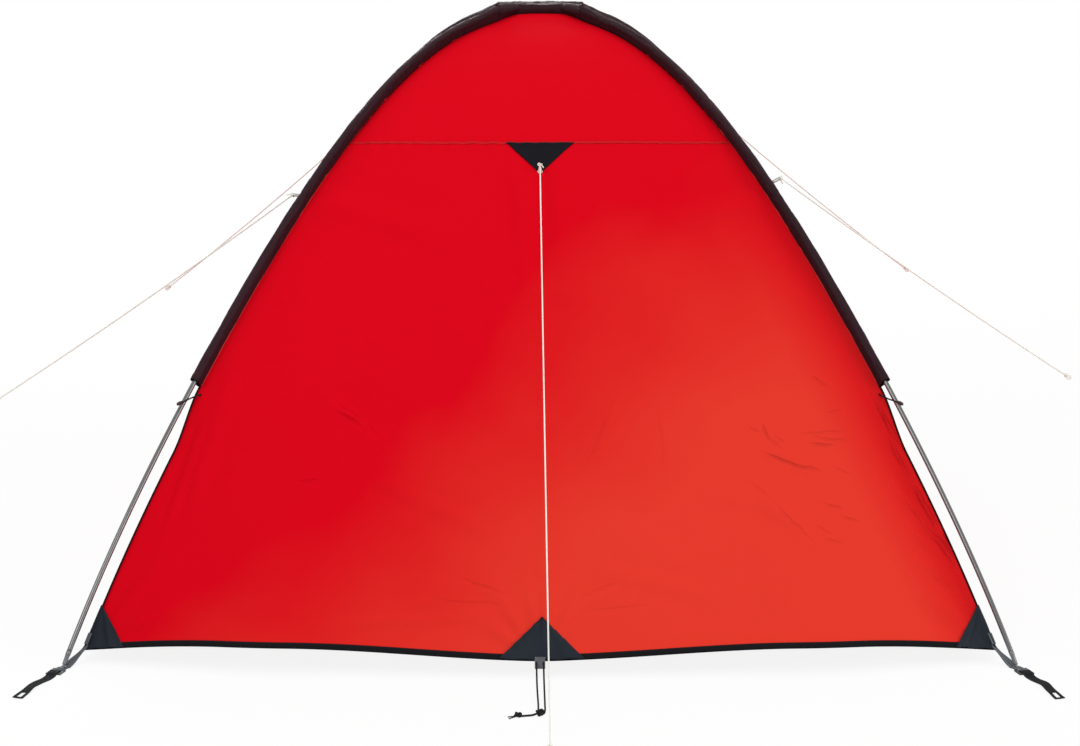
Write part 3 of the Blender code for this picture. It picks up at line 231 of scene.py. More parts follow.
# the fine creases of the front panel, in millimetres: from (x, z), to (x, z), half width, and a hundred times the depth
frontCreases = [
    (400, 338, 462, 314, 2.0, -340), (440, 320, 508, 306, 2.0, -320), (398, 388, 413, 352, 2.0, -250),
    (407, 362, 436, 344, 2.0, -210), (416, 366, 446, 349, 1.8, -160), (372, 381, 398, 371, 1.8, -160),
    (463, 366, 560, 369, 2.2, -210), (478, 363, 562, 354, 2.0, -210), (478, 350, 536, 349, 2.0, -280),
    (489, 464, 527, 440, 2.0, -210), (513, 398, 546, 404, 2.0, -160), (368, 300, 412, 262, 2.0, -160),
    (402, 271, 492, 190, 2.4, -210), (498, 258, 540, 247, 2.2, -210), (528, 240, 566, 225, 2.2, -210),
    (478, 225, 519, 209, 2.0, -160), (492, 205, 538, 196, 2.0, -180), (520, 316, 556, 297, 2.2, -180),
    (-374, 407, -316, 375, 2.4, -340), (-382, 424, -306, 379, 2.2, -160), (-314, 386, -292, 358, 2.4, -140),
    (-432, 293, -389, 297, 2.0, -210), (146, 446, 70, 284, 2.2, 110), (210, 444, 229, 282, 2.2, 110),
    (600, 440, 640, 350, 3.0, -280), (655, 210, 700, 160, 3.0, -230), (-50, 120, -160, 155, 2.6, -180),
    (-50, 105, -200, 118, 2.6, -180), (60, 115, 150, 150, 2.6, -160), (70, 98, 200, 108, 2.6, -140),
    (616, 405, 662, 325, 3.6, -400), (626, 360, 668, 284, 4.2, -550), (655, 306, 712, 202, 4.6, -650),
    (640, 278, 694, 206, 4.0, -450), (680, 222, 742, 146, 4.8, -600), (680, 158, 728, 112, 4.2, -360),
    (640, 345, 674, 270, 3.6, 400), (700, 215, 745, 160, 4.0, 400),
]


def weaveHeight(tree, uv, pitch):
    # plain weave from two crossed sets of threads, in the cloth's own UV, which is in metres
    parts = separated(tree, uv)
    warp, weft = (maths(tree, "ABSOLUTE", maths(tree, "SINE", times(tree, part, math.pi / pitch)))
                  for part in (parts[0], parts[1]))
    return times(tree, warp, weft)


def lineHeight(tree, place, lines):
    # sum of fine creases, each fading at both ends, in thousandths of a metre
    x, y, z = separated(tree, place)
    x = scaledSum(tree, noiseValue(tree, place, 21.0), 0.010, maths(tree, "SUBTRACT", x, 0.005))
    z = scaledSum(tree, noiseValue(tree, place, 17.0), 0.014, maths(tree, "SUBTRACT", z, 0.007))
    total = 0.0
    for line in lines:
        ax, az, bx, bz, width = (value / 1000 for value in line[:5])
        dx, dz = bx - ax, bz - az
        long = math.hypot(dx, dz)
        along = scaledSum(tree, x, dx / long ** 2,
                          scaledSum(tree, z, dz / long ** 2, -(ax * dx + az * dz) / long ** 2))
        across = scaledSum(tree, x, -dz / long / width,
                           scaledSum(tree, z, dx / long / width, (ax * dz - az * dx) / long / width))
        fade = maths(tree, "SINE", ramped(tree, along, 0.0, 1.0, 0.0, math.pi))
        ridge = maths(tree, "EXPONENT", times(tree, times(tree, across, across), -1.0))
        total = scaledSum(tree, times(tree, fade, ridge), line[5] / 100, total)
    return total


def clothMaterial(name):
    colour, other, pitch, weave, roughness, gloss, creaseDepth = clothFinishes[name]
    made, tree, shader, place, uv = newMaterial(name)
    toneAndPaintedLight = ramped(tree, noiseValue(tree, place, 2.2, 3.0), 0.35, 0.65)
    if name in ("redNylon", "frontNylon"):   # painted light: paler and warmer towards the lower right, as if lit and sheened there
        level, aside, upwards = redPaintedLight
        x, y, z = separated(tree, place)
        slope = scaledSum(tree, x, aside, scaledSum(tree, z, upwards, level))
        toneAndPaintedLight = ramped(tree, scaledSum(tree, toneAndPaintedLight, 0.30, slope), 0.15, 1.15)
        # the painted light is held back further right and higher up, so the top stays deep red
        toneAndPaintedLight = times(tree, toneAndPaintedLight, ramped(tree, scaledSum(tree, z, 0.5, x), 0.70, 0.80, 1.0, 0.25))
    slub = noiseValue(tree, stretched(tree, uv, (140.0, 9.0, 1.0)), 3.0, 3.0)
    fillInputs(tree, shader, {"Base Color": mixColour(tree, toneAndPaintedLight, colour, other), "Specular IOR Level": gloss,
                              "Roughness": ramped(tree, slub, 0.3, 0.7, roughness - 0.05, roughness + 0.06)})
    creases = bumpFrom(tree, shader, noiseValue(tree, place, 34.0, 4.0), creaseDepth, 0.6)
    if name == "frontNylon":
        creases = bumpFrom(tree, shader, lineHeight(tree, place, frontCreases), 0.001, 1.0, creases)
    bumpFrom(tree, shader, weaveHeight(tree, uv, pitch), weave, 1.0, creases)
    return made


tapeFinishes = {       # colour, thread, rib pitch and depth, stitch rows across the tape, stitch length, roughness
    "hemTape": ((0.0085, 0.0085, 0.0105), (0.018, 0.019, 0.022), 0.0011, 0.00008, (0.0025,), 0.0032, 0.62),
    "greyWebbing": ((0.160, 0.176, 0.190), (0.26, 0.28, 0.29), 0.0020, 0.00022, (0.0022, 0.0178), 0.0030, 0.80),
    "darkWebbing": ((0.016, 0.018, 0.021), (0.036, 0.040, 0.044), 0.0018, 0.00022, (0.0020, 0.0160), 0.0030, 0.78),
    "zipTape": ((0.0075, 0.0075, 0.0085), (0.016, 0.016, 0.018), 0.0010, 0.00006, (0.0090,), 0.0028, 0.70),
    "tabTape": ((0.46, 0.36, 0.36), (0.60, 0.52, 0.50), 0.0012, 0.00010, (0.0020, 0.0055), 0.0026, 0.70),
    "edgeTape": ((0.018, 0.0050, 0.0062), (0.032, 0.010, 0.012), 0.0011, 0.00005, (0.0020,), 0.0028, 0.70),
    # sleeve piping, a real red tape coloured paler than the cloth as a painted highlight, so that it reads bright in
    # the sleeve's shade
    "coralTape": ((0.80, 0.060, 0.055), (0.80, 0.060, 0.055), 0.0011, 0.00004, (0.0014,), 0.0028, 0.60),
    "seamTape": ((0.70, 0.008, 0.013), (0.60, 0.006, 0.011), 0.0008, 0.00004, (0.0014, 0.0066), 0.0028, 0.52),
}


def tapeMaterial(name):
    # ribbed tape with rows of stitches; U runs along the tape and V across it, in metres
    colour, thread, rib, ribDepth, rows, stitch, roughness = tapeFinishes[name]
    made, tree, shader, place, uv = newMaterial(name)
    along, sideways = separated(tree, uv)[:2]
    turns = 2 * math.pi / rib
    ribs = maths(tree, "SINE", maths(tree, "ADD", times(tree, along, turns), times(tree, sideways, turns * 0.35)))
    dash = maths(tree, "LESS_THAN", maths(tree, "FRACT", maths(tree, "DIVIDE", along, stitch)), 0.68)
    stitched = None
    for row in rows:
        near = maths(tree, "ABSOLUTE", maths(tree, "SUBTRACT", sideways, row))
        mark = times(tree, maths(tree, "LESS_THAN", near, 0.00038), dash)
        stitched = mark if stitched is None else maths(tree, "MAXIMUM", stitched, mark)
    grain = noiseValue(tree, place, 260.0, 3.0)
    shade = times(tree, maths(tree, "ADD", ribs, times(tree, grain, 2.0)), 0.25)
    base = mixColour(tree, shade, tuple(value * 0.62 for value in colour), colour)
    fillInputs(tree, shader, {"Base Color": mixColour(tree, stitched, base, thread), "Roughness": roughness,
                              "Specular IOR Level": 0.05})
    bumpFrom(tree, shader, maths(tree, "ADD", ribs, times(tree, stitched, 2.2)), ribDepth, 0.8)
    return made


braidFinishes = {      # colour, fleck, length of the lay, strands, depth; U runs along the cord, V once round it
    "creamCord": ((0.86, 0.875, 0.79), (0.77, 0.775, 0.68), 0.0055, 4, 0.00018),
    "darkCord": ((0.0085, 0.0085, 0.0095), (0.026, 0.028, 0.030), 0.0050, 4, 0.0002),
}


def braidMaterial(name):
    colour, fleck, lay, strands, depth = braidFinishes[name]
    made, tree, shader, place, uv = newMaterial(name)
    along, around = separated(tree, uv)[:2]
    forward = times(tree, along, 2 * math.pi / lay)
    sideways = times(tree, around, 2 * math.pi * strands)
    one, two = (maths(tree, "SINE", maths(tree, way, sideways, forward)) for way in ("ADD", "SUBTRACT"))
    fillInputs(tree, shader, {"Base Color": mixColour(tree, ramped(tree, one, 0.5, 0.9), colour, fleck),
                              "Roughness": 0.72, "Specular IOR Level": 0.1})
    bumpFrom(tree, shader, maths(tree, "MAXIMUM", one, two), depth, 0.9)
    return made


def poleMaterial():
    # smooth lacquered rod, a little worn in streaks along its length
    made, tree, shader, place, uv = newMaterial("lacqueredRod")
    scratches = noiseValue(tree, stretched(tree, uv, (9.0, 30.0, 1.0)), 6.0, 4.0)
    worn = ramped(tree, scratches, 0.5, 0.75)
    fillInputs(tree, shader, {"Base Color": mixColour(tree, worn, (0.020, 0.021, 0.023), (0.036, 0.038, 0.040)),
                              "Roughness": ramped(tree, worn, 0.0, 1.0, 0.20, 0.32), "Specular IOR Level": 1.0,
                              "Coat Weight": 1.0, "Coat Roughness": 0.14})
    bumpFrom(tree, shader, scratches, 0.00003, 0.5)
    return made


hardFinishes = {       # colour, scuffed colour, roughness, metallic, depth and scale of the grain
    "blackPlastic": ((0.014, 0.014, 0.015), (0.028, 0.028, 0.030), 0.42, 0.0, 0.00006, 900.0),
    "coilPlastic": ((0.022, 0.022, 0.025), (0.045, 0.045, 0.05), 0.35, 0.0, 0.00004, 900.0),
    "brightMetal": ((0.60, 0.61, 0.63), (0.42, 0.43, 0.45), 0.30, 1.0, 0.00002, 500.0),
    "darkMetal": ((0.15, 0.155, 0.16), (0.24, 0.245, 0.25), 0.38, 1.0, 0.00002, 420.0),
}


def hardMaterial(name):
    colour, scuffed, roughness, metallic, grain, scale = hardFinishes[name]
    made, tree, shader, place, uv = newMaterial(name)
    scuffs = ramped(tree, noiseValue(tree, stretched(tree, place, (1.0, 1.0, 6.0)), 120.0, 4.0), 0.52, 0.74)
    fillInputs(tree, shader, {"Base Color": mixColour(tree, scuffs, colour, scuffed), "Metallic": metallic,
                              "Roughness": ramped(tree, scuffs, 0.0, 1.0, roughness, roughness + 0.18)})
    bumpFrom(tree, shader, noiseValue(tree, place, scale), grain, 0.7)
    return made


finishes = {"lacqueredRod": poleMaterial()}
for table, maker in ((clothFinishes, clothMaterial), (tapeFinishes, tapeMaterial), (braidFinishes, braidMaterial),
                     (hardFinishes, hardMaterial)):
    for finishName in table:
        finishes[finishName] = maker(finishName)
print("finishes", len(finishes))


# Mesh helpers

sharpFrom = math.radians(42)           # an edge that turns more than this is shaded sharp
weldGap = {"rim": 0.000002, "solid": 0.000005, "patch": 0.00001, "walls": 0.00002}


def clamped(value, low=0.0, high=1.0):
    return min(high, max(low, value))


def eased(part):
    part = clamped(part)
    return part * part * (3 - 2 * part)


def mapped(low, high, part):
    return low + (high - low) * part


def spread(low, high, count):
    return [mapped(low, high, k / count) for k in range(count + 1)]


def bell(value):
    return math.exp(-value ** 2)


def waver(x, y, z):
    # smooth noise at a place, from about -1 to 1
    return noise.noise(Vector((x, y, z)))


def weld(mesh, kind, verts=None):
    bmesh.ops.remove_doubles(mesh, verts=verts or mesh.verts[:], dist=weldGap[kind])


def turnOutwards(mesh, outward=None):
    # faces of a closed shell point out of it, those of an open sheet along the given direction
    mesh.normal_update()
    if outward is None:
        bmesh.ops.recalc_face_normals(mesh, faces=mesh.faces[:])
        wrong = mesh.calc_volume(signed=True) < 0
    else:
        wrong = sum(face.normal.dot(outward) * face.calc_area() for face in mesh.faces) < 0
    if wrong:
        bmesh.ops.reverse_faces(mesh, faces=mesh.faces[:])


def merged(parts):
    # several meshes as one, each with its own outward direction or none
    whole = bmesh.new()
    for mesh, outward in parts:
        turnOutwards(mesh, outward)
        data = bpy.data.meshes.new("part")
        mesh.to_mesh(data)
        mesh.free()
        whole.from_mesh(data)
        bpy.data.meshes.remove(data)
    return whole


def makePiece(name, mesh, finish, body="tent", replaces=()):
    # names the mesh, gives it its finish and ties it to its body
    data = bpy.data.meshes.new(name)
    mesh.to_mesh(data)
    mesh.free()
    data.shade_smooth()
    data.set_sharp_from_angle(angle=sharpFrom)
    data.materials.append(finishes[finish])
    piece = addObject(name, data)
    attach(piece, body)
    if replaces:
        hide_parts(*replaces)
    return piece


def finishPiece(name, mesh, finish, body="tent", outward=None, replaces=()):
    turnOutwards(mesh, outward)
    return makePiece(name, mesh, finish, body, replaces)


def joined(name, meshes, finish):
    # several closed shells as one piece
    return makePiece(name, merged([(mesh, None) for mesh in meshes]), finish)


def thicken(piece, thickness, offset=-1.0):
    wall = piece.modifiers.new("cloth", "SOLIDIFY")
    wall.thickness = thickness
    wall.offset = offset


def clothPiece(name, mesh, finish, node, plan, body="tent", outward=None):
    # a sheet with the wall of its plan, in place of its node if it has one
    piece = finishPiece(name, mesh, finish, body, outward, (node,) if node else ())
    thicken(piece, plan["wall"])


def gridMesh(columns, rows, place, uvPlace, closed=False):
    # a grid whose every point is put at place(u, v), both from 0 to 1
    mesh = bmesh.new()
    layer = mesh.loops.layers.uv.new("UVMap")
    bmesh.ops.create_grid(mesh, x_segments=columns, y_segments=rows, size=0.5, calc_uvs=True)
    for face in mesh.faces:
        for loop in face.loops:
            loop[layer].uv = uvPlace(loop.vert.co.x + 0.5, loop.vert.co.y + 0.5)
    for vert in mesh.verts:
        vert.co = place(vert.co.x + 0.5, vert.co.y + 0.5)
    if closed:
        weld(mesh, "rim", [vert for vert in mesh.verts if vert.is_boundary])
    return mesh


def dropFaces(mesh, gone):
    # takes out the faces whose middle gone() says
    bmesh.ops.delete(mesh, geom=[face for face in mesh.faces if gone(face.calc_center_median())], context="FACES")


def capEnds(mesh):
    rim = [edge for edge in mesh.edges if edge.is_boundary]
    bmesh.ops.holes_fill(mesh, edges=rim, sides=0)


def tubeMesh(frames, section, sides, length, capped=True):
    # frames are (place, sideways, upwards); section is a radius, a radius for each u or two offsets for (u, angle)
    last = len(frames) - 1

    def place(u, v):
        spot, sideways, upwards = frames[round(u * last)]
        angle = 2 * math.pi * v
        if callable(section):
            aside, rise = section(u, angle)
        else:
            radius = section if isinstance(section, float) else section[round(u * last)]
            aside, rise = radius * math.sin(angle), -radius * math.cos(angle)
        return spot + sideways * aside + upwards * rise

    mesh = gridMesh(last, sides, place, lambda u, v: (u * length, v), closed=True)
    if capped:
        capEnds(mesh)
    return mesh


def pathLength(points):
    return sum((b - a).length for a, b in zip(points, points[1:]))


def headings(points):
    # direction of a line at each of its points
    last = len(points) - 1
    return [(points[min(last, k + 1)] - points[max(0, k - 1)]).normalized() for k in range(last + 1)]


def carriedFrames(points, start=rightward):
    # frames carried along a winding line without twist
    frames = []
    sideways = start
    for point, along in zip(points, headings(points)):
        sideways = (sideways - along * sideways.dot(along)).normalized()
        frames.append((point, sideways, sideways.cross(along)))
    return frames


def flatFrames(points, outward):
    # frames of a tape that lies on a plane
    return [(point, along.cross(outward).normalized(), outward) for point, along in zip(points, headings(points))]


def runsOf(points):
    runs = [0.0]
    for a, b in zip(points, points[1:]):
        runs.append(runs[-1] + (b - a).length)
    return runs


def smoothLine(points, count):
    # count points evenly spread along a smooth curve through the given ones
    fine = []
    last = len(points) - 1
    for k in range(last):
        p0, p1 = Vector(points[max(0, k - 1)]), Vector(points[k])
        p2, p3 = Vector(points[k + 1]), Vector(points[min(last, k + 2)])
        for step in range(24):
            t = step / 24
            fine.append(0.5 * ((2 * p1) + (p2 - p0) * t + (2 * p0 - 5 * p1 + 4 * p2 - p3) * t * t
                               + (3 * p1 - p0 - 3 * p2 + p3) * t ** 3))
    fine.append(Vector(points[-1]))
    runs = runsOf(fine)
    result = []
    for step in range(count):
        target = runs[-1] * step / (count - 1)
        index = min(len(runs) - 2, max(0, bisect.bisect_left(runs, target) - 1))
        part = (target - runs[index]) / (runs[index + 1] - runs[index])
        result.append(fine[index].lerp(fine[index + 1], clamped(part)))
    return result


def ringFrames(count, place, start):
    # frames round a closed ring whose point at each angle is place(angle)
    frames = carriedFrames([place(2 * math.pi * k / count) for k in range(count + 1)], start)
    frames[-1] = frames[0]
    return frames


def strandMesh(points, count, radius, length, start=rightward):
    return tubeMesh(carriedFrames(smoothLine(points, count), start), radius, 8, length)


# Line of the poles and of the cloth's corners

lineSizes = {"footX": 0.825, "footY": 1.20, "crown": 1.104, "foot": 0.0016, "lift": 0.0048, "crossing": 0.10}
halfDiagonal = math.hypot(lineSizes["footX"], lineSizes["footY"])
outX, outY = lineSizes["footX"] / halfDiagonal, lineSizes["footY"] / halfDiagonal


def poleFall(share):
    return 0.5 * share ** 2 + 2.1 * share ** 3 - 2.2 * share ** 4 + 0.6 * share ** 6


def poleTable(hand, lift):
    # a pole's axis from its front foot to its rear foot, with the run to each of its points
    steps = 1600
    points = []
    for k in range(steps + 1):
        share = -1 + 2 * k / steps
        height = lineSizes["foot"] + (lineSizes["crown"] - lineSizes["foot"]) * (1 - poleFall(abs(share)))
        height += lift * max(0.0, 1 - (share / lineSizes["crossing"]) ** 2) ** 2
        points.append(Vector((share * hand * lineSizes["footX"], share * lineSizes["footY"], height)))
    runs = runsOf(points)
    return {"points": points, "runs": runs, "length": runs[-1], "steps": steps,
            "across": Vector((outY, -outX * hand, 0.0))}


def alongPole(table, distance):
    # place, direction and upward normal at this distance from the front foot
    points, runs = table["points"], table["runs"]
    index = min(table["steps"] - 1, max(0, bisect.bisect_right(runs, distance) - 1))
    a, b = points[index], points[index + 1]
    along = (points[min(table["steps"], index + 7)] - points[max(0, index - 6)]).normalized()
    part = (distance - runs[index]) / (runs[index + 1] - runs[index])
    return a + (b - a) * part, along, table["across"].cross(along)


poleA = poleTable(1, -lineSizes["lift"])
poleB = poleTable(-1, lineSizes["lift"])
clothLine = poleTable(1, 0.0)
halfPole = clothLine["length"] / 2

cloth = {"topDrop": 0.0078, "seamDrop": 0.0178, "legInset": 0.036, "legEase": 0.07, "sleeveTop": 0.105,
         "sleeveFoot": 0.758, "crown": 0.012, "seam": 0.453, "doorTop": 0.52, "patch": 0.950, "hem": 0.982,
         "flat": 0.56, "hemMiddle": 0.028, "hemRaise": 0.022, "endBow": 0.0963, "sideBow": 0.004,
         "patchOnEnd": 0.915, "patchOnSide": 0.94, "wall": 0.0008, "flatSoft": 0.30}


def distanceAt(share):
    # distance from the crown along the line, at this share of the half span
    return clothLine["runs"][round((share + 1) / 2 * clothLine["steps"])] - halfPole


hemDistance = distanceAt(cloth["hem"])
seamDistance = distanceAt(cloth["seam"])
sleeveEnd = distanceAt(cloth["sleeveFoot"])


def clothDrop(distance):
    # how far the cloth hangs under the poles' line, where it is sewn to the sleeves
    away = mapped(cloth["topDrop"], cloth["seamDrop"], eased((distance - 0.06) / 0.14))
    return away + 0.0030 * (1 - eased(distance / 0.06))


def fromCrown(distance):
    # place, direction and upward normal of the +X +Y arm of the line
    return alongPole(clothLine, halfPole + distance)


def cornerPoint(distance):
    # corner of the cloth in the +X +Y quarter
    place, along, up = fromCrown(distance)
    leave = eased((distance - sleeveEnd) / (cloth["legEase"] * halfPole))
    return place - up * mapped(clothDrop(distance), cloth["legInset"], leave)


cornerSteps = 900
cornerReach = distanceAt(0.995)
cornerPoints = [cornerPoint(cornerReach * k / cornerSteps) for k in range(cornerSteps + 1)]
cornerFalls = [-point.z for point in cornerPoints]


def clothCorner(distance):
    part = clamped(distance / cornerReach, high=0.9999) * cornerSteps
    index = int(part)
    return cornerPoints[index].lerp(cornerPoints[index + 1], part - index)


def distanceOfHeight(height):
    # distance from the crown at which the corner line has this height
    index = min(cornerSteps - 1, max(0, bisect.bisect_left(cornerFalls, -height) - 1))
    low, high = cornerFalls[index], cornerFalls[index + 1]
    return cornerReach * (index + clamped((-height - low) / (high - low))) / cornerSteps


hemCorner = clothCorner(hemDistance)
seamCorner = clothCorner(seamDistance)
hemEaseFrom = distanceAt(0.70)
sides = {}             # each side's panel runs along axis 0 or 1 and faces the other one's sign
for sideName, axis, sign, bow in (("front", 0, -1, "endBow"), ("rear", 0, 1, "endBow"),
                                  ("left", 1, -1, "sideBow"), ("right", 1, 1, "sideBow")):
    sides[sideName] = {"axis": axis, "sign": sign, "seamReach": seamCorner[1 - axis],
                       "hemReach": hemCorner[1 - axis] + cloth[bow]}


def turned(side, width, reach, height):
    # a point or direction of a side's panel from its own three measures
    reach *= sides[side]["sign"]
    return Vector((reach, width, height) if sides[side]["axis"] else (width, reach, height))


def planeReach(side, height):
    # how far out the flat middle of a lower panel stands
    part = (seamCorner.z - height) / (seamCorner.z - cloth["hemMiddle"])
    return mapped(sides[side]["seamReach"], sides[side]["hemReach"], part)


def sideOutward(side):
    run = sides[side]["hemReach"] - sides[side]["seamReach"]
    return turned(side, 0, seamCorner.z - cloth["hemMiddle"], run).normalized()


def hemHeight(share, cornerHeight):
    away = abs(share)
    level = cloth["hemMiddle"] + (cornerHeight - cloth["hemMiddle"]) * away
    return level + cloth["hemRaise"] * math.sin(math.pi * away ** 1.4)


def cornerward(share):
    # 0 on the flat middle of a lower panel, 1 at its corner line, with a soft start
    away = max(0.0, (abs(share) - cloth["flat"]) / (1 - cloth["flat"]))
    soft = cloth["flatSoft"]
    bent = away * away / (2 * soft) if away < soft else away - soft / 2
    return bent / (1 - soft / 2)


def panelPoint(side, distance, share, width=None):
    # a point of the cloth: share from -1 to 1 between the corner lines, or width along the panel
    axis = sides[side]["axis"]
    corner = clothCorner(distance)
    if width is not None:
        share = clamped(width / corner[axis], -1.0)
    height = corner.z
    if distance > hemEaseFrom:
        down = eased((distance - hemEaseFrom) / (hemDistance - hemEaseFrom))
        height += (hemHeight(share, hemCorner.z) - hemCorner.z) * down
        corner = clothCorner(distanceOfHeight(height))
    reach, half = corner[1 - axis], corner[axis]
    if width is None:
        width = share * half
    else:
        share = clamped(width / half, -1.0)
    if distance > seamDistance:
        reach = mapped(planeReach(side, height), reach, cornerward(share))
    return turned(side, width, reach, height)


def panelFrame(side, distance, share):
    # point and outward normal of the cloth
    here = panelPoint(side, distance, share)
    step = 0.004
    down = panelPoint(side, min(hemDistance, distance + step), share) - panelPoint(side, distance - step, share)
    wide = panelPoint(side, distance, share * 0.99 + 0.01) - panelPoint(side, distance, share * 0.99 - 0.01)
    normal = down.cross(wide).normalized()
    return here, normal if normal.dot(sideOutward(side)) >= 0 else -normal


def cornerSigned(point, tag):
    # a point or direction of the +X +Y quarter, put in this corner's quarter
    return Vector((point.x * cornerTags[tag][0], point.y * cornerTags[tag][1], point.z))


print("lines", round(clothLine["length"], 4), tuple(round(value, 4) for value in hemCorner))


# Guy lines and the peg loop, which come before everything that they hang on

guyPlan = {"diameter": 0.0026, "startGap": 0.0002, "sag": 0.006, "points": 17, "strand": 0.0011,
           "centreStandoff": 0.020, "centreEnd": (0.016, -1.70, 0.006), "patchDepth": 0.050}
guyRuns = {            # the knot's share of the half span, its place up and across from the pole, the run to the end
    "guy_front_left": (0.5414, 0.0010, 0.0253, (-0.6020, 0.0000, -0.4130)),
    "guy_front_right": (0.5249, 0.0149, 0.0211, (0.5630, 0.0060, -0.3860)),
    "guy_rear_left": (0.5204, -0.0055, 0.0275, (-0.4380, -0.0060, -0.3630)),
    "guy_rear_right": (0.5134, 0.0091, 0.0259, (0.4250, -0.0060, -0.3380)),
}
sleeveRadius = 0.011


def guyLine(start, knot, end):
    points = [start]
    for t in spread(0, 1, guyPlan["points"] - 1):
        points.append(knot.lerp(end, t) - skyward * (guyPlan["sag"] * 4 * t * (1 - t)))
    return points


def guyPlaces():
    # each guy's start on the tent, its knot and its end
    found = {}
    for name, (share, rise, aside, run) in guyRuns.items():
        place, along, up = fromCrown(distanceAt(share))
        away = up * rise + clothLine["across"] * aside
        start = place + away.normalized() * (sleeveRadius + guyPlan["startGap"])
        start, knot = (cornerSigned(spot, name[4:]) for spot in (start, place + away))
        found[name] = (start, knot, knot + Vector(run))
    height = seamCorner.z - 0.0006 - guyPlan["patchDepth"]
    tip = turned("front", 0, planeReach("front", height), height)
    outward = sideOutward("front")
    found["guy_front_centre"] = (tip + outward * 0.0015, tip + outward * guyPlan["centreStandoff"],
                                 Vector(guyPlan["centreEnd"]))
    return found


def cordTube(name, points, radius, finish, replaces=()):
    start = skyward if abs((points[-1] - points[0]).normalized().z) < 0.9 else rightward
    mesh = tubeMesh(carriedFrames(points, start), radius, 10, pathLength(points))
    return finishPiece(name, mesh, finish, replaces=replaces)


def knotMesh(place, size, cordRadius, turn):
    # one overhand knot as a closed tube
    count, flatness = 40, 0.55
    points = []
    for k in range(count):
        t = 2 * math.pi * k / count
        points.append(turn @ Vector(((math.sin(t) + 2 * math.sin(2 * t)) * size / 6,
                                     (math.cos(t) - 2 * math.cos(2 * t)) * size / 6,
                                     -math.sin(3 * t) * size / 6 * flatness * 2)) + place)
    frames = []
    for index in list(range(count)) + [0]:
        along = (points[(index + 1) % count] - points[index - 1]).normalized()
        sideways = along.cross(points[index] - place).normalized()
        frames.append((points[index], sideways, sideways.cross(along)))
    return tubeMesh(frames, cordRadius, 8, size * 4, capped=False)


def declareCord(points, ends):
    tuple(points[0])
    pathLength(points)
    [tuple(point) for point in points]


def makeGuys():
    strand = guyPlan["strand"]
    for name, (start, knot, end) in guyPlaces().items():
        points = guyLine(start, knot, end)
        cord = cordTube(name + "_line", points, guyPlan["diameter"] / 2, "creamCord", (name,))
        along = (end - knot).normalized()
        turn = skyward.rotation_difference(along).to_matrix()
        tail = [knot + turn @ Vector(spot) for spot in ((0.001, 0, 0), (0.004, 0.001, 0.004), (0.0065, 0.002, 0.010))]
        eye = ringFrames(28, lambda t: end + along * (-0.005 + 0.005 * math.cos(t))
                         + turn @ Vector((0.0038 * math.sin(t), 0, 0)), turn @ Vector((0, 1, 0)))
        knots = [knotMesh(knot, 0.0085, strand, turn), strandMesh(tail, 8, strand, 0.012),
                 tubeMesh(eye, strand, 8, 0.06, capped=False), knotMesh(end - along * 0.0115, 0.007, strand, turn)]
        declareCord(points, joined(name + "_knots", knots, "creamCord"))


pegPlan = {"diameter": 0.003, "points": 39, "knot": (0.0, -1.4862, 0.0062), "knotSize": 0.0115,
           "route": ((-0.0060, -1.2498, 0.0266), (-0.0050, -1.3400, 0.0110), (-0.0030, -1.4200, 0.0030),
                     (-0.0020, -1.4700, 0.0022), (0.0030, -1.4880, 0.0022), (0.0080, -1.4700, 0.0022),
                     (0.0080, -1.4200, 0.0030), (0.0070, -1.3400, 0.0110), (0.0060, -1.2498, 0.0266)),
           "tail": ((-0.002, -1.487, 0.006), (-0.012, -1.492, 0.0035), (-0.024, -1.491, 0.0020),
                    (-0.036, -1.496, 0.0024)),
           "frays": (((-0.037, -1.496, 0.003), (-0.044, -1.494, 0.0018), (-0.052, -1.496, 0.0014)),
                     ((-0.037, -1.497, 0.003), (-0.044, -1.500, 0.0018), (-0.050, -1.506, 0.0014)))}


def makePegLoop():
    points = smoothLine(pegPlan["route"], pegPlan["points"])
    cord = cordTube("peg_cord_front_loop", points, pegPlan["diameter"] / 2, "darkCord", ("peg_cord_front",))
    tailEnd = Vector(pegPlan["tail"][-1]) + skyward * 0.003
    knots = [knotMesh(Vector(pegPlan["knot"]), pegPlan["knotSize"], 0.0022, Matrix.Rotation(0.5, 3, "X")),
             knotMesh(tailEnd, 0.0110, 0.0021, Matrix.Rotation(1.2, 3, "Z")),
             strandMesh(pegPlan["tail"], 16, 0.0019, 0.035, skyward)]
    knots += [strandMesh(fray, 8, 0.0010, 0.015, skyward) for fray in pegPlan["frays"]]
    declareCord(points, joined("peg_cord_knots", knots, "darkCord"))


makeGuys()
makePegLoop()
print("guys and peg loop")


# Outer tent

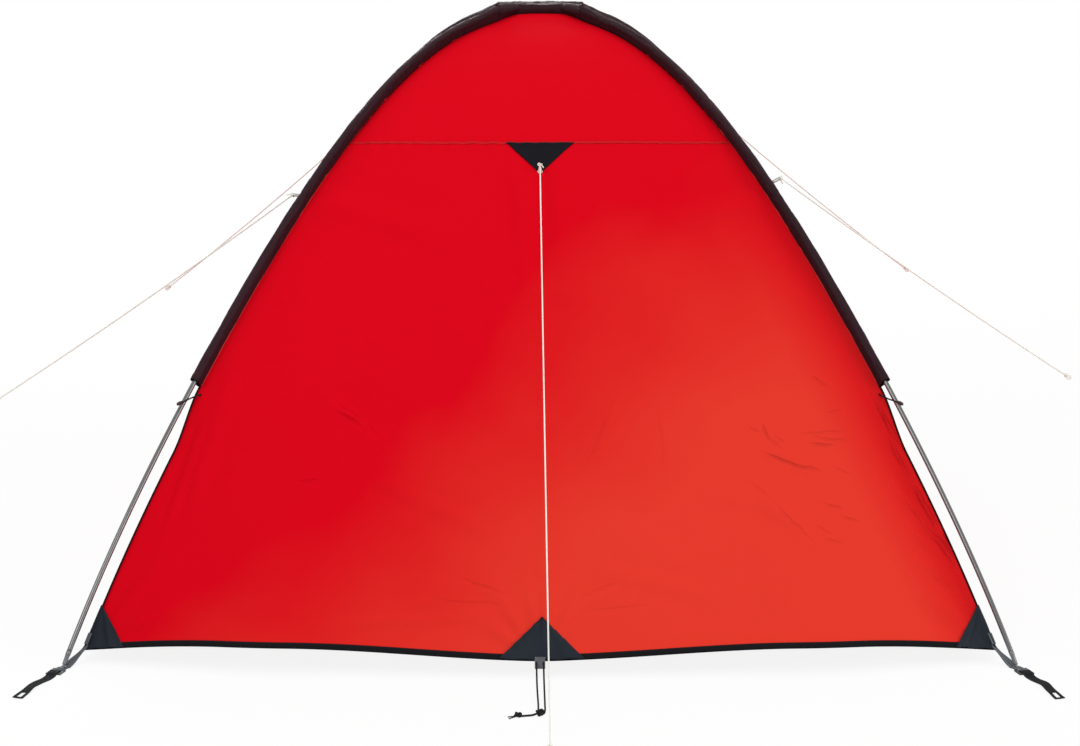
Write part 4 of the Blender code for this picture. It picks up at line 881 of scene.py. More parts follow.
foldPlans = {          # each fold in millimetres: from (place along the panel, height), to, half width, rise
    "front": [(-460, 770, -200, 700, 22, 3.0), (460, 770, 220, 720, 20, 3.0), (622, 402, 660, 335, 6.5, 3.0),
              (626, 354, 668, 284, 8.0, 4.4), (655, 304, 712, 202, 8.5, 5.0), (638, 272, 692, 208, 7.5, 3.8),
              (680, 222, 740, 146, 9.0, 4.8), (678, 158, 726, 114, 7.5, 3.0), (400, 350, 520, 300, 14, 1.6),
              (380, 280, 500, 180, 16, 1.6), (300, 280, 460, 240, 16, 1.4), (-50, 830, -20, 600, 22, 2.2),
              (50, 830, 15, 620, 20, 2.0), (-300, 300, -100, 220, 12, 2.0), (-400, 430, -300, 360, 14, 1.6),
              (-620, 280, -560, 460, 18, 3.0), (-660, 220, -610, 380, 8, 2.6), (100, 160, 300, 120, 12, 1.4),
              (-120, 90, -340, 80, 8, 2.0)],
    "rear": [(-520, 500, -620, 240, 10, 3.4), (500, 440, 620, 200, 10, 3.4), (440, 750, 240, 600, 18, 3.0),
             (-440, 750, -260, 620, 18, 3.0), (460, 360, 550, 220, 8, 2.6)],
    "left": [(-900, 420, -550, 200, 22, 4.0), (850, 450, 500, 220, 22, 4.0), (-550, 780, -250, 550, 28, 4.0),
             (520, 780, 280, 550, 24, 3.4), (-980, 300, -780, 160, 14, 3.0), (100, 850, 20, 500, 26, 3.0)],
    "right": [(-860, 460, -500, 220, 22, 4.0), (900, 420, 560, 200, 22, 4.0), (-500, 760, -220, 520, 24, 3.4),
              (560, 800, 300, 560, 28, 4.0), (980, 300, 800, 160, 14, 3.0), (-120, 880, -50, 520, 26, 3.0)],
}
foldPlans = {side: [[value / 1000 for value in fold] for fold in folds] for side, folds in foldPlans.items()}
gatherPlan = {"corner": (0.15, 16, 0.0052), "middle": (0.105, 15, 0.0042),       # reach, folds, rise
              "seamRise": 0.0011, "seamReach": 0.022, "seamPitch": 0.034, "swell": 0.0045}


def foldRise(along, height, plan):
    # height of one soft fold over the cloth
    x0, z0, x1, z1, width, rise = plan
    dx, dz = x1 - x0, z1 - z0
    part = ((along - x0) * dx + (height - z0) * dz) / (dx * dx + dz * dz)
    if part < -0.2 or part > 1.2:
        return 0.0
    away = abs((along - x0) * dz - (height - z0) * dx) / math.hypot(dx, dz)
    if away > 4 * width:
        return 0.0
    ends = eased((part + 0.2) / 0.4) * eased((1.2 - part) / 0.4)
    return rise * ends * (bell(away / width) - 0.55 * bell((away - 1.6 * width) / width))


def gather(along, height, centre, reach, folds, rise):
    # small folds that run out from a point that pulls on the cloth
    dx, dz = along - centre[0], height - centre[1]
    away = math.hypot(dx, dz)
    if away > reach * 2.2 or away < 1e-5:
        return 0.0
    angle = math.atan2(dz, dx)
    wave = math.sin(angle * folds + 2.5 * waver(angle * 3, centre[0] * 7, centre[1]))
    return rise * wave * eased((away / reach - 0.25) / 0.5) * math.exp(-(away / reach) ** 2 * 1.2)


def clothRise(side, along, height, distance):
    # how far the cloth stands out from its plain shape
    axis = sides[side]["axis"]
    seed = {"front": 3.0, "rear": 11.0, "left": 19.0, "right": 27.0}[side]
    total = gatherPlan["swell"] * waver(along * 2.6, height * 2.2, seed)
    total += 0.0010 * waver(along * 9.0 + height * 6, height * 7 - along * 4, seed + 1)
    for plan in foldPlans[side]:
        total += foldRise(along, height, plan)
    if distance > seamDistance - 0.02:
        for sign in (-1, 1):
            total += gather(along, height, (sign * hemCorner[axis], hemCorner.z), *gatherPlan["corner"])
        total += gather(along, height, (0.0, cloth["hemMiddle"]), *gatherPlan["middle"])
    off = abs(height - seamCorner.z)
    if axis == 0 and off < gatherPlan["seamReach"] * 3:
        wave = math.sin(2 * math.pi * along / gatherPlan["seamPitch"] + 3 * waver(along * 8, seed, 0))
        strength = 0.5 + waver(along * 5, seed + 5, 0)
        total += gatherPlan["seamRise"] * wave * max(0.1, strength) * bell(off / gatherPlan["seamReach"])
    return total


def heldRise(side, spot, hold=0.05):
    # the cloth's rise at a point of the plain shape, none at the corner lines that hold it
    axis = sides[side]["axis"]
    distance = distanceOfHeight(spot.z)
    edge = eased((1 - min(1.0, abs(spot[axis]) / max(0.01, clothCorner(distance)[axis]))) / hold)
    bottom = hemHeight(spot[axis] / hemCorner[axis], hemCorner.z)
    edge *= mapped(0.2, 1.0, eased((spot.z - bottom) / 0.035))
    return clothRise(side, spot[axis], spot.z, distance) * edge


def frontSpot(distance, width, lift):
    # a point on the front's finished cloth, lifted off it, for what is sewn on
    here, normal = panelFrame("front", distance, width / clothCorner(distance).x)
    return here + normal * (heldRise("front", here) + lift)


def clothGrid(side, low, high, columns, rows, across=None):
    # a stretch of one side's cloth, between two distances from the crown
    outward = sideOutward(side)
    axis = sides[side]["axis"]

    def place(u, v):
        distance = mapped(low, high, v)
        return across(u, distance) if across else panelPoint(side, distance, 2 * u - 1)

    mesh = gridMesh(columns, rows, place, lambda u, v: (place(u, v)[axis], mapped(low, high, v)))
    mesh.normal_update()
    lifts = []
    for vert in mesh.verts:
        normal = vert.normal if vert.normal.dot(outward) > 0 else -vert.normal
        lifts.append(normal * heldRise(side, vert.co))
    for vert, lift in zip(mesh.verts, lifts):
        vert.co += lift
    return mesh


doorPlan = {"tip": 0.012, "hem": 0.40, "gap": 0.0006, "columnShare": 0.25,
            "wall": cloth["wall"], "flat": (0.80, 0.98), "area": 0.40}
doorTopDistance = distanceAt(cloth["doorTop"])
doorTopHeight = clothCorner(doorTopDistance).z


def doorHalf(height):
    part = (doorTopHeight - height) / (doorTopHeight - cloth["hemMiddle"])
    return mapped(doorPlan["tip"], doorPlan["hem"], clamped(part))


def shared(across, edge, whole, inner):
    # columns across an opening: the inner share of them lies within its edge, the rest outside
    if abs(across) <= inner:
        return edge * across / inner
    return math.copysign(mapped(edge, whole, (abs(across) - inner) / (1 - inner)), across)


def rearAcross(u, distance):
    # columns that follow the door's slanting edges
    corner = clothCorner(distance)
    height = corner.z
    for _ in range(3):
        edge = doorHalf(height)
        height = panelPoint("rear", distance, 0, width=edge).z
    return panelPoint("rear", distance, 0, width=shared(2 * u - 1, edge, corner.x, doorPlan["columnShare"]))


def doorAcross(u, distance):
    edge = rearAcross(0.5 + doorPlan["columnShare"] / 2, distance)
    return panelPoint("rear", distance, 0, width=(edge.x - doorPlan["gap"]) * (2 * u - 1))


def makePanels():
    top, hem = distanceAt(cloth["crown"]), hemDistance
    plans = [  # node, side, from, to, columns, rows, flat size, area
        ("fly_front_upper", "front", top, seamDistance, 90, 80, (0.75, 0.60), 0.232),
        ("fly_front_lower", "front", seamDistance, hem, 250, 160, (1.72, 1.12), 1.30),
        ("fly_rear_upper", "rear", top, seamDistance, 80, 70, (0.75, 0.60), 0.232),
        ("fly_left", "left", top, hem, 180, 150, (2.52, 1.42), 1.87),
        ("fly_right", "right", top, hem, 180, 150, (2.52, 1.42), 1.87),
        ("fly_rear_lower", "rear", seamDistance, hem, 160, 130, (1.72, 1.12), 0.90),
    ]
    for node, side, low, high, columns, rows, flat, area in plans:
        mesh = clothGrid(side, low, high, columns, rows, rearAcross if node == "fly_rear_lower" else None)
        if node == "fly_rear_lower":
            dropFaces(mesh, lambda spot: spot.z <= doorTopHeight and abs(spot.x) <= doorHalf(spot.z))
        finish = "frontNylon" if node == "fly_front_lower" else "redNylon"
        plan = {"wall": cloth["wall"], "flat": flat, "area": area}
        clothPiece(node + "_cloth", mesh, finish, node, plan, outward=sideOutward(side))
    mesh = clothGrid("rear", doorTopDistance, hem, 80, 110, doorAcross)
    clothPiece("fly_door_cloth", mesh, "redNylon", "fly_door", doorPlan, "door",
               sideOutward("rear"))


makePanels()
print("outer tent's panels")


# Strips and tapes sewn on the cloth

def sweptMesh(frames, outline, length):
    # closed outline carried along the frames; its UVs are metres along it and round it
    outlineOf = outline if callable(outline) else lambda u: outline
    first = outlineOf(0.0)
    count = len(first)
    runs = [0.0]
    for k in range(count):
        a, b = first[k], first[(k + 1) % count]
        runs.append(runs[-1] + math.hypot(b[0] - a[0], b[1] - a[1]))
    last = len(frames) - 1

    def place(u, v):
        spot, sideways, upwards = frames[round(u * last)]
        aside, rise = outlineOf(u)[round(v * count) % count]
        return spot + sideways * aside + upwards * rise

    mesh = gridMesh(last, count, place, lambda u, v: (u * length, runs[round(v * count)]), closed=True)
    capEnds(mesh)
    return mesh


def roundOutline(radius, count=8):
    return [(radius * math.sin(2 * math.pi * k / count), -radius * math.cos(2 * math.pi * k / count))
            for k in range(count)]


def bandOutline(width, thickness, lift=0.0):
    # thin tape with rounded edges, its face on the first points
    half, soft = width / 2, min(thickness / 2, width / 8)
    low, high = lift, lift + thickness
    middle = (low + high) / 2
    return [(-half, middle), (-half + soft, high), (-half / 2, high), (0.0, high), (half / 2, high),
            (half - soft, high), (half, middle), (half - soft, low), (0.0, low), (-half + soft, low)]


def stripPiece(name, frames, outline, finish, body="tent", length=None, replaces=()):
    length = length or pathLength([spot for spot, *axes in frames])
    return finishPiece(name, sweptMesh(frames, outline, length), finish, body, None, replaces)


def clothFrames(side, stations):
    # place on the finished cloth, direction down it and outward normal, for each (distance, share)
    frames = []
    for distance, share in stations:
        here, normal = panelFrame(side, distance, share)
        down = here - panelPoint(side, distance - 0.012, share)
        down = (down - normal * down.dot(normal)).normalized()
        frames.append((here + normal * heldRise(side, here), down, normal))
    return frames


hemPlan = {"depth": 0.0104, "over": 0.0013, "face": 0.0011, "under": 0.0021, "drop": 0.0013, "steps": 220,
           "doorGap": 0.0012}
seamPlan = {"width": 0.0060, "thick": 0.0003, "lift": 0.0002, "steps": 260, "pucker": 0.0004, "pitch": 0.017}
edgePlan = {"radius": 0.0017, "steps": 90, "lift": 0.0004}
pipingPlan = {"radius": 0.0012, "share": 0.996, "lift": 0.0016, "steps": 160}

hemOutline = [(-hemPlan["depth"], 0.0002), (-hemPlan["depth"] + 0.0002, hemPlan["face"]), (-0.0050, hemPlan["over"]),
              (-0.0005, hemPlan["over"] - 0.0001), (hemPlan["drop"], -0.0004), (-0.0005, -0.0020),
              (-0.0050, -hemPlan["under"]), (-hemPlan["depth"] + 0.0002, -hemPlan["under"] + 0.0002),
              (-hemPlan["depth"], -0.0010)]


def makeHem():
    door, gap = doorPlan["hem"] / hemCorner.x, hemPlan["doorGap"] / hemCorner.x
    runs = {"front": ("front", -1.0, 1.0), "left": ("left", -1.0, 1.0), "right": ("right", -1.0, 1.0),
            "rear_left": ("rear", -1.0, -door - gap), "rear_right": ("rear", door + gap, 1.0),
            "door": ("rear", -door + gap, door - gap)}
    for name, (side, low, high) in runs.items():
        steps = max(40, int(hemPlan["steps"] * (high - low) / 2))
        frames = clothFrames(side, [(hemDistance, share) for share in spread(low, high, steps)])
        stripPiece("hem_tape_" + name, frames, hemOutline, "hemTape", "door" if name == "door" else "tent")


def makeSeams():
    for side, seed in (("front", 3.0), ("rear", 8.0)):
        def outline(u):
            along = u * 2 * seamCorner.x
            wave = math.sin(2 * math.pi * along / seamPlan["pitch"] + 2 * waver(along * 9, seed, 0))
            rise = seamPlan["pucker"] * max(0.0, wave) * (0.4 + waver(along * 6, seed, 4.0))
            return bandOutline(seamPlan["width"], seamPlan["thick"], seamPlan["lift"] + max(0.0, rise))

        frames = clothFrames(side, [(seamDistance, share) for share in spread(-0.995, 0.995, seamPlan["steps"])])
        stripPiece("seam_strip_" + side, frames, outline, "seamTape")
    for tag, (signX, signY) in cornerTags.items():
        endSide = "front" if signY < 0 else "rear"
        distances = spread(distanceAt(cloth["sleeveTop"]), sleeveEnd, pipingPlan["steps"])
        frames = clothFrames(endSide, [(distance, signX * pipingPlan["share"]) for distance in distances])
        frames = carriedFrames([spot + up * pipingPlan["lift"] for spot, down, up in frames], rightward * signY)
        # the piping's paler red is a painted highlight
        stripPiece("sleeve_seam_" + tag, frames, roundOutline(pipingPlan["radius"]), "coralTape")


def makeLegEdges():
    for tag in cornerTags:
        points = []
        for distance in spread(sleeveEnd - 0.012, distanceAt(cloth["patch"]) + 0.006, edgePlan["steps"]):
            points.append(cornerSigned(clothCorner(distance) + fromCrown(distance)[2] * edgePlan["lift"], tag))
        stripPiece("leg_edge_" + tag, carriedFrames(points), roundOutline(edgePlan["radius"]), "edgeTape")


makeHem()
makeSeams()
makeLegEdges()
print("hem, seams and edges")


# Patches

patchPlan = {"lift": 0.0034, "wall": 0.0009, "folds": 0.0026, "columns": 56, "rows": 30, "depth": 0.075,
             "flat": (0.155, 0.080), "area": 0.0062}


def makeCornerPatches():
    top = distanceAt(cloth["patch"])
    for tag, (signX, signY) in cornerTags.items():
        endSide = "front" if signY < 0 else "rear"
        longSide = "left" if signX < 0 else "right"

        def place(u, v):
            t = 2 * u - 1
            distance = mapped(top, hemDistance, v)
            if t < 0:
                side, share = endSide, signX * (1 + (1 - cloth["patchOnEnd"]) * t * v)
            else:
                side, share = longSide, signY * (1 - (1 - cloth["patchOnSide"]) * t * v)
            spot, normal = panelFrame(side, distance, share)
            normal = cornerSigned(fromCrown(distance)[2], tag).lerp(normal, eased(abs(t) / 0.30)).normalized()
            fold = math.sin(t * 15 + 3 * waver(t * 2, v * 2, signX * 3.0 + signY)) * v
            return spot + normal * (patchPlan["lift"] + patchPlan["folds"] * max(-0.6, fold) + heldRise(side, spot))

        mesh = gridMesh(patchPlan["columns"], patchPlan["rows"], place,
                        lambda u, v: ((2 * u - 1) * patchPlan["depth"] * v, v * patchPlan["depth"]))
        weld(mesh, "patch")
        clothPiece("corner_patch_cloth_" + tag, mesh, "slateNylon", "corner_patch_" + tag, patchPlan,
                   outward=sideOutward(endSide) + sideOutward(longSide))


guyPatchPlan = {"half": 0.065, "depth": 0.050, "tip": 0.005, "below": 0.0006, "lift": 0.0019, "wall": 0.0009,
                "columns": 44, "rows": 24, "flat": (0.135, 0.068), "area": 0.0048, "bound": 0.0030}


def makeGuyPatch():
    outward = sideOutward("front")
    half, depth, lift = guyPatchPlan["half"], guyPatchPlan["depth"], guyPatchPlan["lift"]

    def spotAt(width, down, away):
        return frontSpot(distanceOfHeight(seamCorner.z - guyPatchPlan["below"] - down), width, away)

    def place(u, v):
        rise = 0.0004 * math.sin(u * 19) * (1 - v) * math.sin(math.pi * v)
        return spotAt((2 * u - 1) * mapped(half, guyPatchPlan["tip"], v), depth * v, lift + rise)

    mesh = gridMesh(guyPatchPlan["columns"], guyPatchPlan["rows"], place,
                    lambda u, v: ((2 * u - 1) * mapped(half, guyPatchPlan["tip"], v), depth * v))
    clothPiece("guy_patch_cloth", mesh, "darkNylon", "guy_patch_front", guyPatchPlan,
               outward=outward)
    frames = [(spotAt(width, 0.0012, lift - 0.0001), -skyward, outward) for width in spread(-half, half, 60)]
    stripPiece("guy_patch_binding", frames, bandOutline(guyPatchPlan["bound"], 0.0006), "darkWebbing")
    tip = spotAt(0.0, depth, lift)
    loop = ringFrames(24, lambda t: tip + Vector((0.0040 * math.sin(t), 0, 0.0030 * math.cos(t) - 0.0022))
                      + outward * (0.0016 - 0.0016 * math.cos(t)), outward)
    strands = [tubeMesh(loop, 0.0011, 8, 0.02, capped=False)]
    start, knot = guyPlaces()["guy_front_centre"][:2]
    for sign in (-1, 1):
        line = [start + Vector((sign * 0.0036, 0, -0.004)), start.lerp(knot, 0.5) + Vector((sign * 0.0022, 0, -0.003)),
                knot + rightward * (sign * 0.0006)]
        strands.append(strandMesh(line, 12, 0.0010, 0.02))
    joined("guy_patch_loop", strands, "creamCord")


hemPatchPlan = {"half": 0.0735, "apex": 0.089, "tip": 0.0004, "aside": 0.0035, "lift": 0.0028, "wall": 0.0009,
                "columns": 60, "rows": 30, "flat": (0.150, 0.086), "area": 0.0066}


def halved(low, high, steps, beyond):
    # the place between two where beyond(place) turns false
    for _ in range(steps):
        middle = (low + high) / 2
        if beyond(middle):
            low = middle
        else:
            high = middle
    return low


def makeHemPatch():
    low = halved(distanceAt(0.85), hemDistance, 30,
                 lambda distance: panelPoint("front", distance, 0, width=0.0).z > hemPatchPlan["apex"])

    def widthAt(u, v):
        return (2 * u - 1) * mapped(hemPatchPlan["tip"], hemPatchPlan["half"], v)

    def place(u, v):
        fold = math.sin((2 * u - 1) * 11 + 1.5 * waver(u * 3, v * 2, 5.0)) * (0.3 + 0.7 * v)
        return frontSpot(mapped(low, hemDistance - 0.0004, v), widthAt(u, v) + hemPatchPlan["aside"],
                         hemPatchPlan["lift"] + 0.0015 * fold)

    mesh = gridMesh(hemPatchPlan["columns"], hemPatchPlan["rows"], place, lambda u, v: (widthAt(u, v), v * 0.07))
    clothPiece("hem_patch_cloth", mesh, "slateNylon", None, hemPatchPlan,
               outward=sideOutward("front"))
    hem = frontSpot(hemDistance, 0.0, 0.0)
    points = smoothLine([hem + Vector((0, aside, rise)) for aside, rise in
                         ((0.0010, 0.0060), (-0.0015, -0.0010), (-0.0062, -0.0070), (-0.0100, -0.0120))], 22)
    frames = [(spot, rightward, -rightward.cross(along)) for spot, along in zip(points, headings(points))]
    stripPiece("hem_tab_front", frames, bandOutline(0.0180, 0.0015), "greyWebbing")


makeCornerPatches()
makeGuyPatch()
makeHemPatch()
print("patches")


# Sleeves

crownPlan = {"reach": 0.108, "roof": 0.0128, "level": 0.85, "half": 0.0125, "endHalf": 0.0104, "keel": 0.0012,
             "turn": 0.55, "columns": 60, "rounds": 44, "web": 0.098, "webTop": 0.62, "webColumns": 40, "wall": 0.0008,
             "flat": (0.25, 0.25), "area": 0.0545}
sleevePlan = {"radius": 0.0088, "keel": 0.0010, "topLift": 0.85, "topEase": 0.085, "columns": 320, "rounds": 32,
              "wall": 0.0007, "hem": 0.012, "hemRise": 0.0006, "pucker": 0.0010, "pitch": 0.021, "swell": 0.0010,
              "crease": 0.0011, "flat": (0.070, 1.30), "area": 0.082,
              "pulls": ((0.5414, 0.0020, 0.014), (0.518, 0.0012, 0.009), (0.565, 0.0012, 0.010), (0.43, 0.0010, 0.012),
                        (0.36, 0.0012, 0.010), (0.70, 0.0013, 0.011), (0.72, 0.0010, 0.007), (0.25, 0.0008, 0.010))}


def crownHeight(run):
    return lineSizes["crown"] - (lineSizes["crown"] - lineSizes["foot"]) * poleFall(run / halfDiagonal)


def sleeveReach(distance, angle, low, high, seed):
    # radius of the sleeve at an angle from its seam, with its puckers
    under = math.sin(angle / 2)
    keel = clothDrop(distance) + sleevePlan["keel"]
    reach = sleevePlan["radius"] + (keel - sleevePlan["radius"]) * bell(under / 0.24)
    middle = math.sin(angle) ** 2
    reach -= sleevePlan["crease"] * bell(waver(distance * 15, math.cos(angle) * 1.9, math.sin(angle) * 1.9 + seed)
                                         / 0.09)
    wave = math.sin(2 * math.pi * distance / sleevePlan["pitch"] + 4 * waver(distance * 14, seed, 0))
    strength = max(0.0, 0.35 + waver(distance * 7, seed, 3.0))
    reach += sleevePlan["pucker"] * wave * strength * middle * bell((under - 0.45) / 0.35)
    reach += sleevePlan["swell"] * waver(distance * 16, math.cos(angle) * 1.3, seed + math.sin(angle))
    for share, depth, width in sleevePlan["pulls"]:
        off = (distance - distanceAt(share)) / width
        if abs(off) < 4:
            reach -= depth * bell(off) * middle * (0.6 + 0.4 * math.cos(off * 5))
    fromEnd = min(distance - low, high - distance)
    if fromEnd < sleevePlan["hem"]:
        reach += sleevePlan["hemRise"]
    elif fromEnd < sleevePlan["hem"] + 0.0015:
        reach -= 0.0003
    return reach


def makeSleeves():
    low, high = distanceAt(cloth["sleeveTop"]) - 0.004, sleeveEnd
    topLift = sleevePlan["topLift"] * (lineSizes["crown"] - crownHeight(crownPlan["reach"] * halfDiagonal)) - 0.0005
    for index, tag in enumerate(cornerTags):
        def place(u, v):
            distance = mapped(low, high, u)
            spot, along, up = fromCrown(distance)
            angle = 2 * math.pi * v
            reach = sleeveReach(distance, angle, low, high, index * 7.3)
            away = clothLine["across"] * math.sin(angle) - up * math.cos(angle)
            lift = topLift * (1 - eased((distance - low) / sleevePlan["topEase"])) * eased((1 - math.cos(angle)) / 1.3)
            return cornerSigned(spot + away * reach + up * lift, tag)

        mesh = gridMesh(sleevePlan["columns"], sleevePlan["rounds"], place,
                        lambda u, v: (v * sleevePlan["flat"][0], mapped(low, high, u)), closed=True)
        clothPiece("sleeve_cloth_" + tag, mesh, "blackNylon", "sleeve_" + tag, sleevePlan)


def crumpled(x, y, z):
    spot = Vector((x, y, z))
    crumple = 0.0013 * noise.noise(spot * 36.0) + 0.0007 * noise.noise(spot * 95.0)
    return spot + Vector((x * 2.0, y * 2.0, 1.0)).normalized() * crumple


def crownShape(part):
    # roof over the pole line, half width and skirt under it, at this part of an arm: its top stays nearly level
    run = part * crownPlan["reach"] * halfDiagonal
    roof = crownPlan["roof"] + crownPlan["level"] * (lineSizes["crown"] - crownHeight(run)) - 0.0020 * part
    return roof, mapped(crownPlan["half"], crownPlan["endHalf"], eased(part)), clothDrop(run) + 0.0006


def makeCrown():
    reach, turn, webTop = crownPlan["reach"] * halfDiagonal, crownPlan["turn"], crownPlan["webTop"]
    parts = []
    for signX, signY in cornerTags.values():
        def place(u, v):
            across = 2 * v - 1
            side = abs(across)
            overTop = side < turn
            angle = side / turn * math.pi / 2
            down = max(0.0, (side - turn) / (1 - turn))

            def asideOf(half):
                return half * math.sin(angle) if overTop else mapped(half, crownPlan["keel"], down ** 1.3)

            start = asideOf(crownPlan["half"]) * (outX / outY if across > 0 else outY / outX)
            run = mapped(start, reach, u)
            roof, half, skirt = crownShape(run / reach)
            rise = roof * math.cos(angle) if overTop else -skirt * down
            sideways = math.copysign(asideOf(half), across)
            return crumpled(signX * (run * outX + sideways * outY), signY * (run * outY - sideways * outX),
                            crownHeight(run) + rise)

        mesh = gridMesh(crownPlan["columns"], crownPlan["rounds"], place, lambda u, v: (u * reach, (2 * v - 1) * 0.036))
        parts.append((mesh, skyward))
    for signY in (-1, 1):
        def webPlace(u, v):
            # web between two arms: level from the crossing outwards, then down to the cloth
            across = 2 * u - 1
            run = mapped(0.012, crownPlan["web"], min(1.0, v / webTop))
            down = max(0.0, (v - webTop) / (1 - webTop))
            roof, half, skirt = crownShape(run / reach)
            slack = 1 - across * across
            deep = mapped(roof - 0.0012 - 0.0022 * slack, 0.0022 * slack - skirt - 0.0030 * across ** 4, down)
            ahead = run * outY * (1 - 0.10 * slack) + 0.0030 * math.sin(math.pi * down)
            return crumpled(across * run * outX, signY * ahead, crownHeight(run) + deep)

        mesh = gridMesh(crownPlan["webColumns"], crownPlan["rounds"], webPlace, lambda u, v: (u * 0.1, v * 0.13))
        parts.append((mesh, skyward))
    whole = merged(parts)
    weld(whole, "walls")
    clothPiece("crown_sleeve_cloth", whole, "blackNylon", "crown_sleeve", crownPlan, outward=skyward)


tabPlan = {"width": 0.0075, "thick": 0.0016, "from": 0.0070, "overKnot": 0.0006}


def makeGuyTabs():
    for name, (share, rise, aside, run) in guyRuns.items():
        tag = name[4:]
        spot, along, up = fromCrown(distanceAt(share))
        away = up * rise + clothLine["across"] * aside
        points = [cornerSigned(spot + away.normalized() * reach, tag)
                  for reach in spread(tabPlan["from"], away.length - tabPlan["overKnot"], 12)]
        aim = cornerSigned(along, tag)
        frames = [(point, aim, aim.cross((points[-1] - points[0]).normalized())) for point in points]
        outline = bandOutline(tabPlan["width"], tabPlan["thick"], -tabPlan["thick"] / 2)
        stripPiece("guy_tab_" + tag, frames, outline, "tabTape", length=0.02)


makeSleeves()
makeCrown()
makeGuyTabs()
print("sleeves and crown")


# Poles, their tips and cords

rodPlan = {"radius": 0.0045, "wall": 0.0014, "sections": 5, "tip": 0.030, "gap": 0.0003, "columns": 190,
           "rounds": 20, "chamfer": 0.0004, "ferrule": 0.0026, "ferruleReach": 0.030, "cord": 0.0013,
           "cordFrom": 0.0453}
tipProfile = [         # distance from the ground end, radius
    (0.0000, 0.0016), (0.0004, 0.0023), (0.0010, 0.0025), (0.0052, 0.0025), (0.0062, 0.0036), (0.0220, 0.0040),
    (0.0224, 0.0042), (0.0228, 0.0045), (0.0255, 0.0045), (0.0257, 0.0043), (0.0262, 0.0043), (0.0264, 0.0045),
    (0.0294, 0.0045), (0.0297, 0.0043), (0.0297, 0.0026), (0.0450, 0.0026),
]


def alongFrames(table, distances):
    frames = []
    for distance in distances:
        spot, along, up = alongPole(table, distance)
        frames.append((spot, table["across"], up))
    return frames


def makePoles():
    chamfered, reach = rodPlan["radius"] - rodPlan["chamfer"], rodPlan["ferruleReach"]
    for letter, table in (("a", poleA), ("b", poleB)):
        span = table["length"] - 2 * rodPlan["tip"]
        ferrules = []
        for index in range(rodPlan["sections"]):
            low = rodPlan["tip"] + span * index / rodPlan["sections"] + (rodPlan["gap"] if index else 0.0)
            high = rodPlan["tip"] + span * (index + 1) / rodPlan["sections"]
            steps = [low] + spread(low + 0.0006, high - 0.0006, rodPlan["columns"]) + [high]
            radii = [chamfered] + [rodPlan["radius"]] * (len(steps) - 2) + [chamfered]
            mesh = tubeMesh(alongFrames(table, steps), radii, rodPlan["rounds"], high - low, capped=False)
            name = f"pole_{letter}_section_{index + 1}"
            thicken(finishPiece(name + "_rod", mesh, "lacqueredRod", replaces=(name,)), rodPlan["wall"])
            if index:
                frames = alongFrames(table, spread(low - reach, low + reach, 12))
                ferrules.append(tubeMesh(frames, rodPlan["ferrule"], 12, 2 * reach, capped=False))
        thicken(joined(f"pole_{letter}_ferrules", ferrules, "brightMetal"), 0.0007)
        points = [alongPole(table, distance)[0] for distance in
                  spread(rodPlan["cordFrom"], table["length"] - rodPlan["cordFrom"], 240)]
        cordTube(f"shock_cord_{letter}_line", points, rodPlan["cord"], "darkCord", (f"shock_cord_{letter}",))


def makeTips():
    for tag, (signX, signY) in cornerTags.items():
        table = poleA if signX == signY else poleB
        distances = [run if signY < 0 else table["length"] - run for run, radius in tipProfile]
        mesh = tubeMesh(alongFrames(table, distances), [radius for run, radius in tipProfile], 28, 0.045)
        finishPiece("pole_tip_metal_" + tag, mesh, "darkMetal", replaces=("pole_tip_" + tag,))


makePoles()
makeTips()
print("poles")


# Leg toggles

togglePlan = {"cordRadius": 0.0014, "reach": 0.049, "body": 0.016, "wide": 0.0036, "thick": 0.0021,
              "tabWidth": 0.0042, "tabTaper": 0.0016, "tabThick": 0.0014, "tabFrom": -0.0015, "tabTo": 0.0075,
              "tabLength": 0.0105,
              "shape": ((0.0, 0.45), (0.06, 0.72), (0.20, 0.90), (0.45, 1.0), (0.70, 0.94), (0.88, 0.78), (0.97, 0.55),
                        (1.0, 0.30))}


def shaped(table, part):
    # height of a line of (place, height) points at one place
    for (a, low), (b, high) in zip(table, table[1:]):
        if part <= b:
            return mapped(low, high, (part - a) / max(1e-6, b - a))
    return table[-1][1]


def rounded(value, power):
    return math.copysign(abs(value) ** power, value)


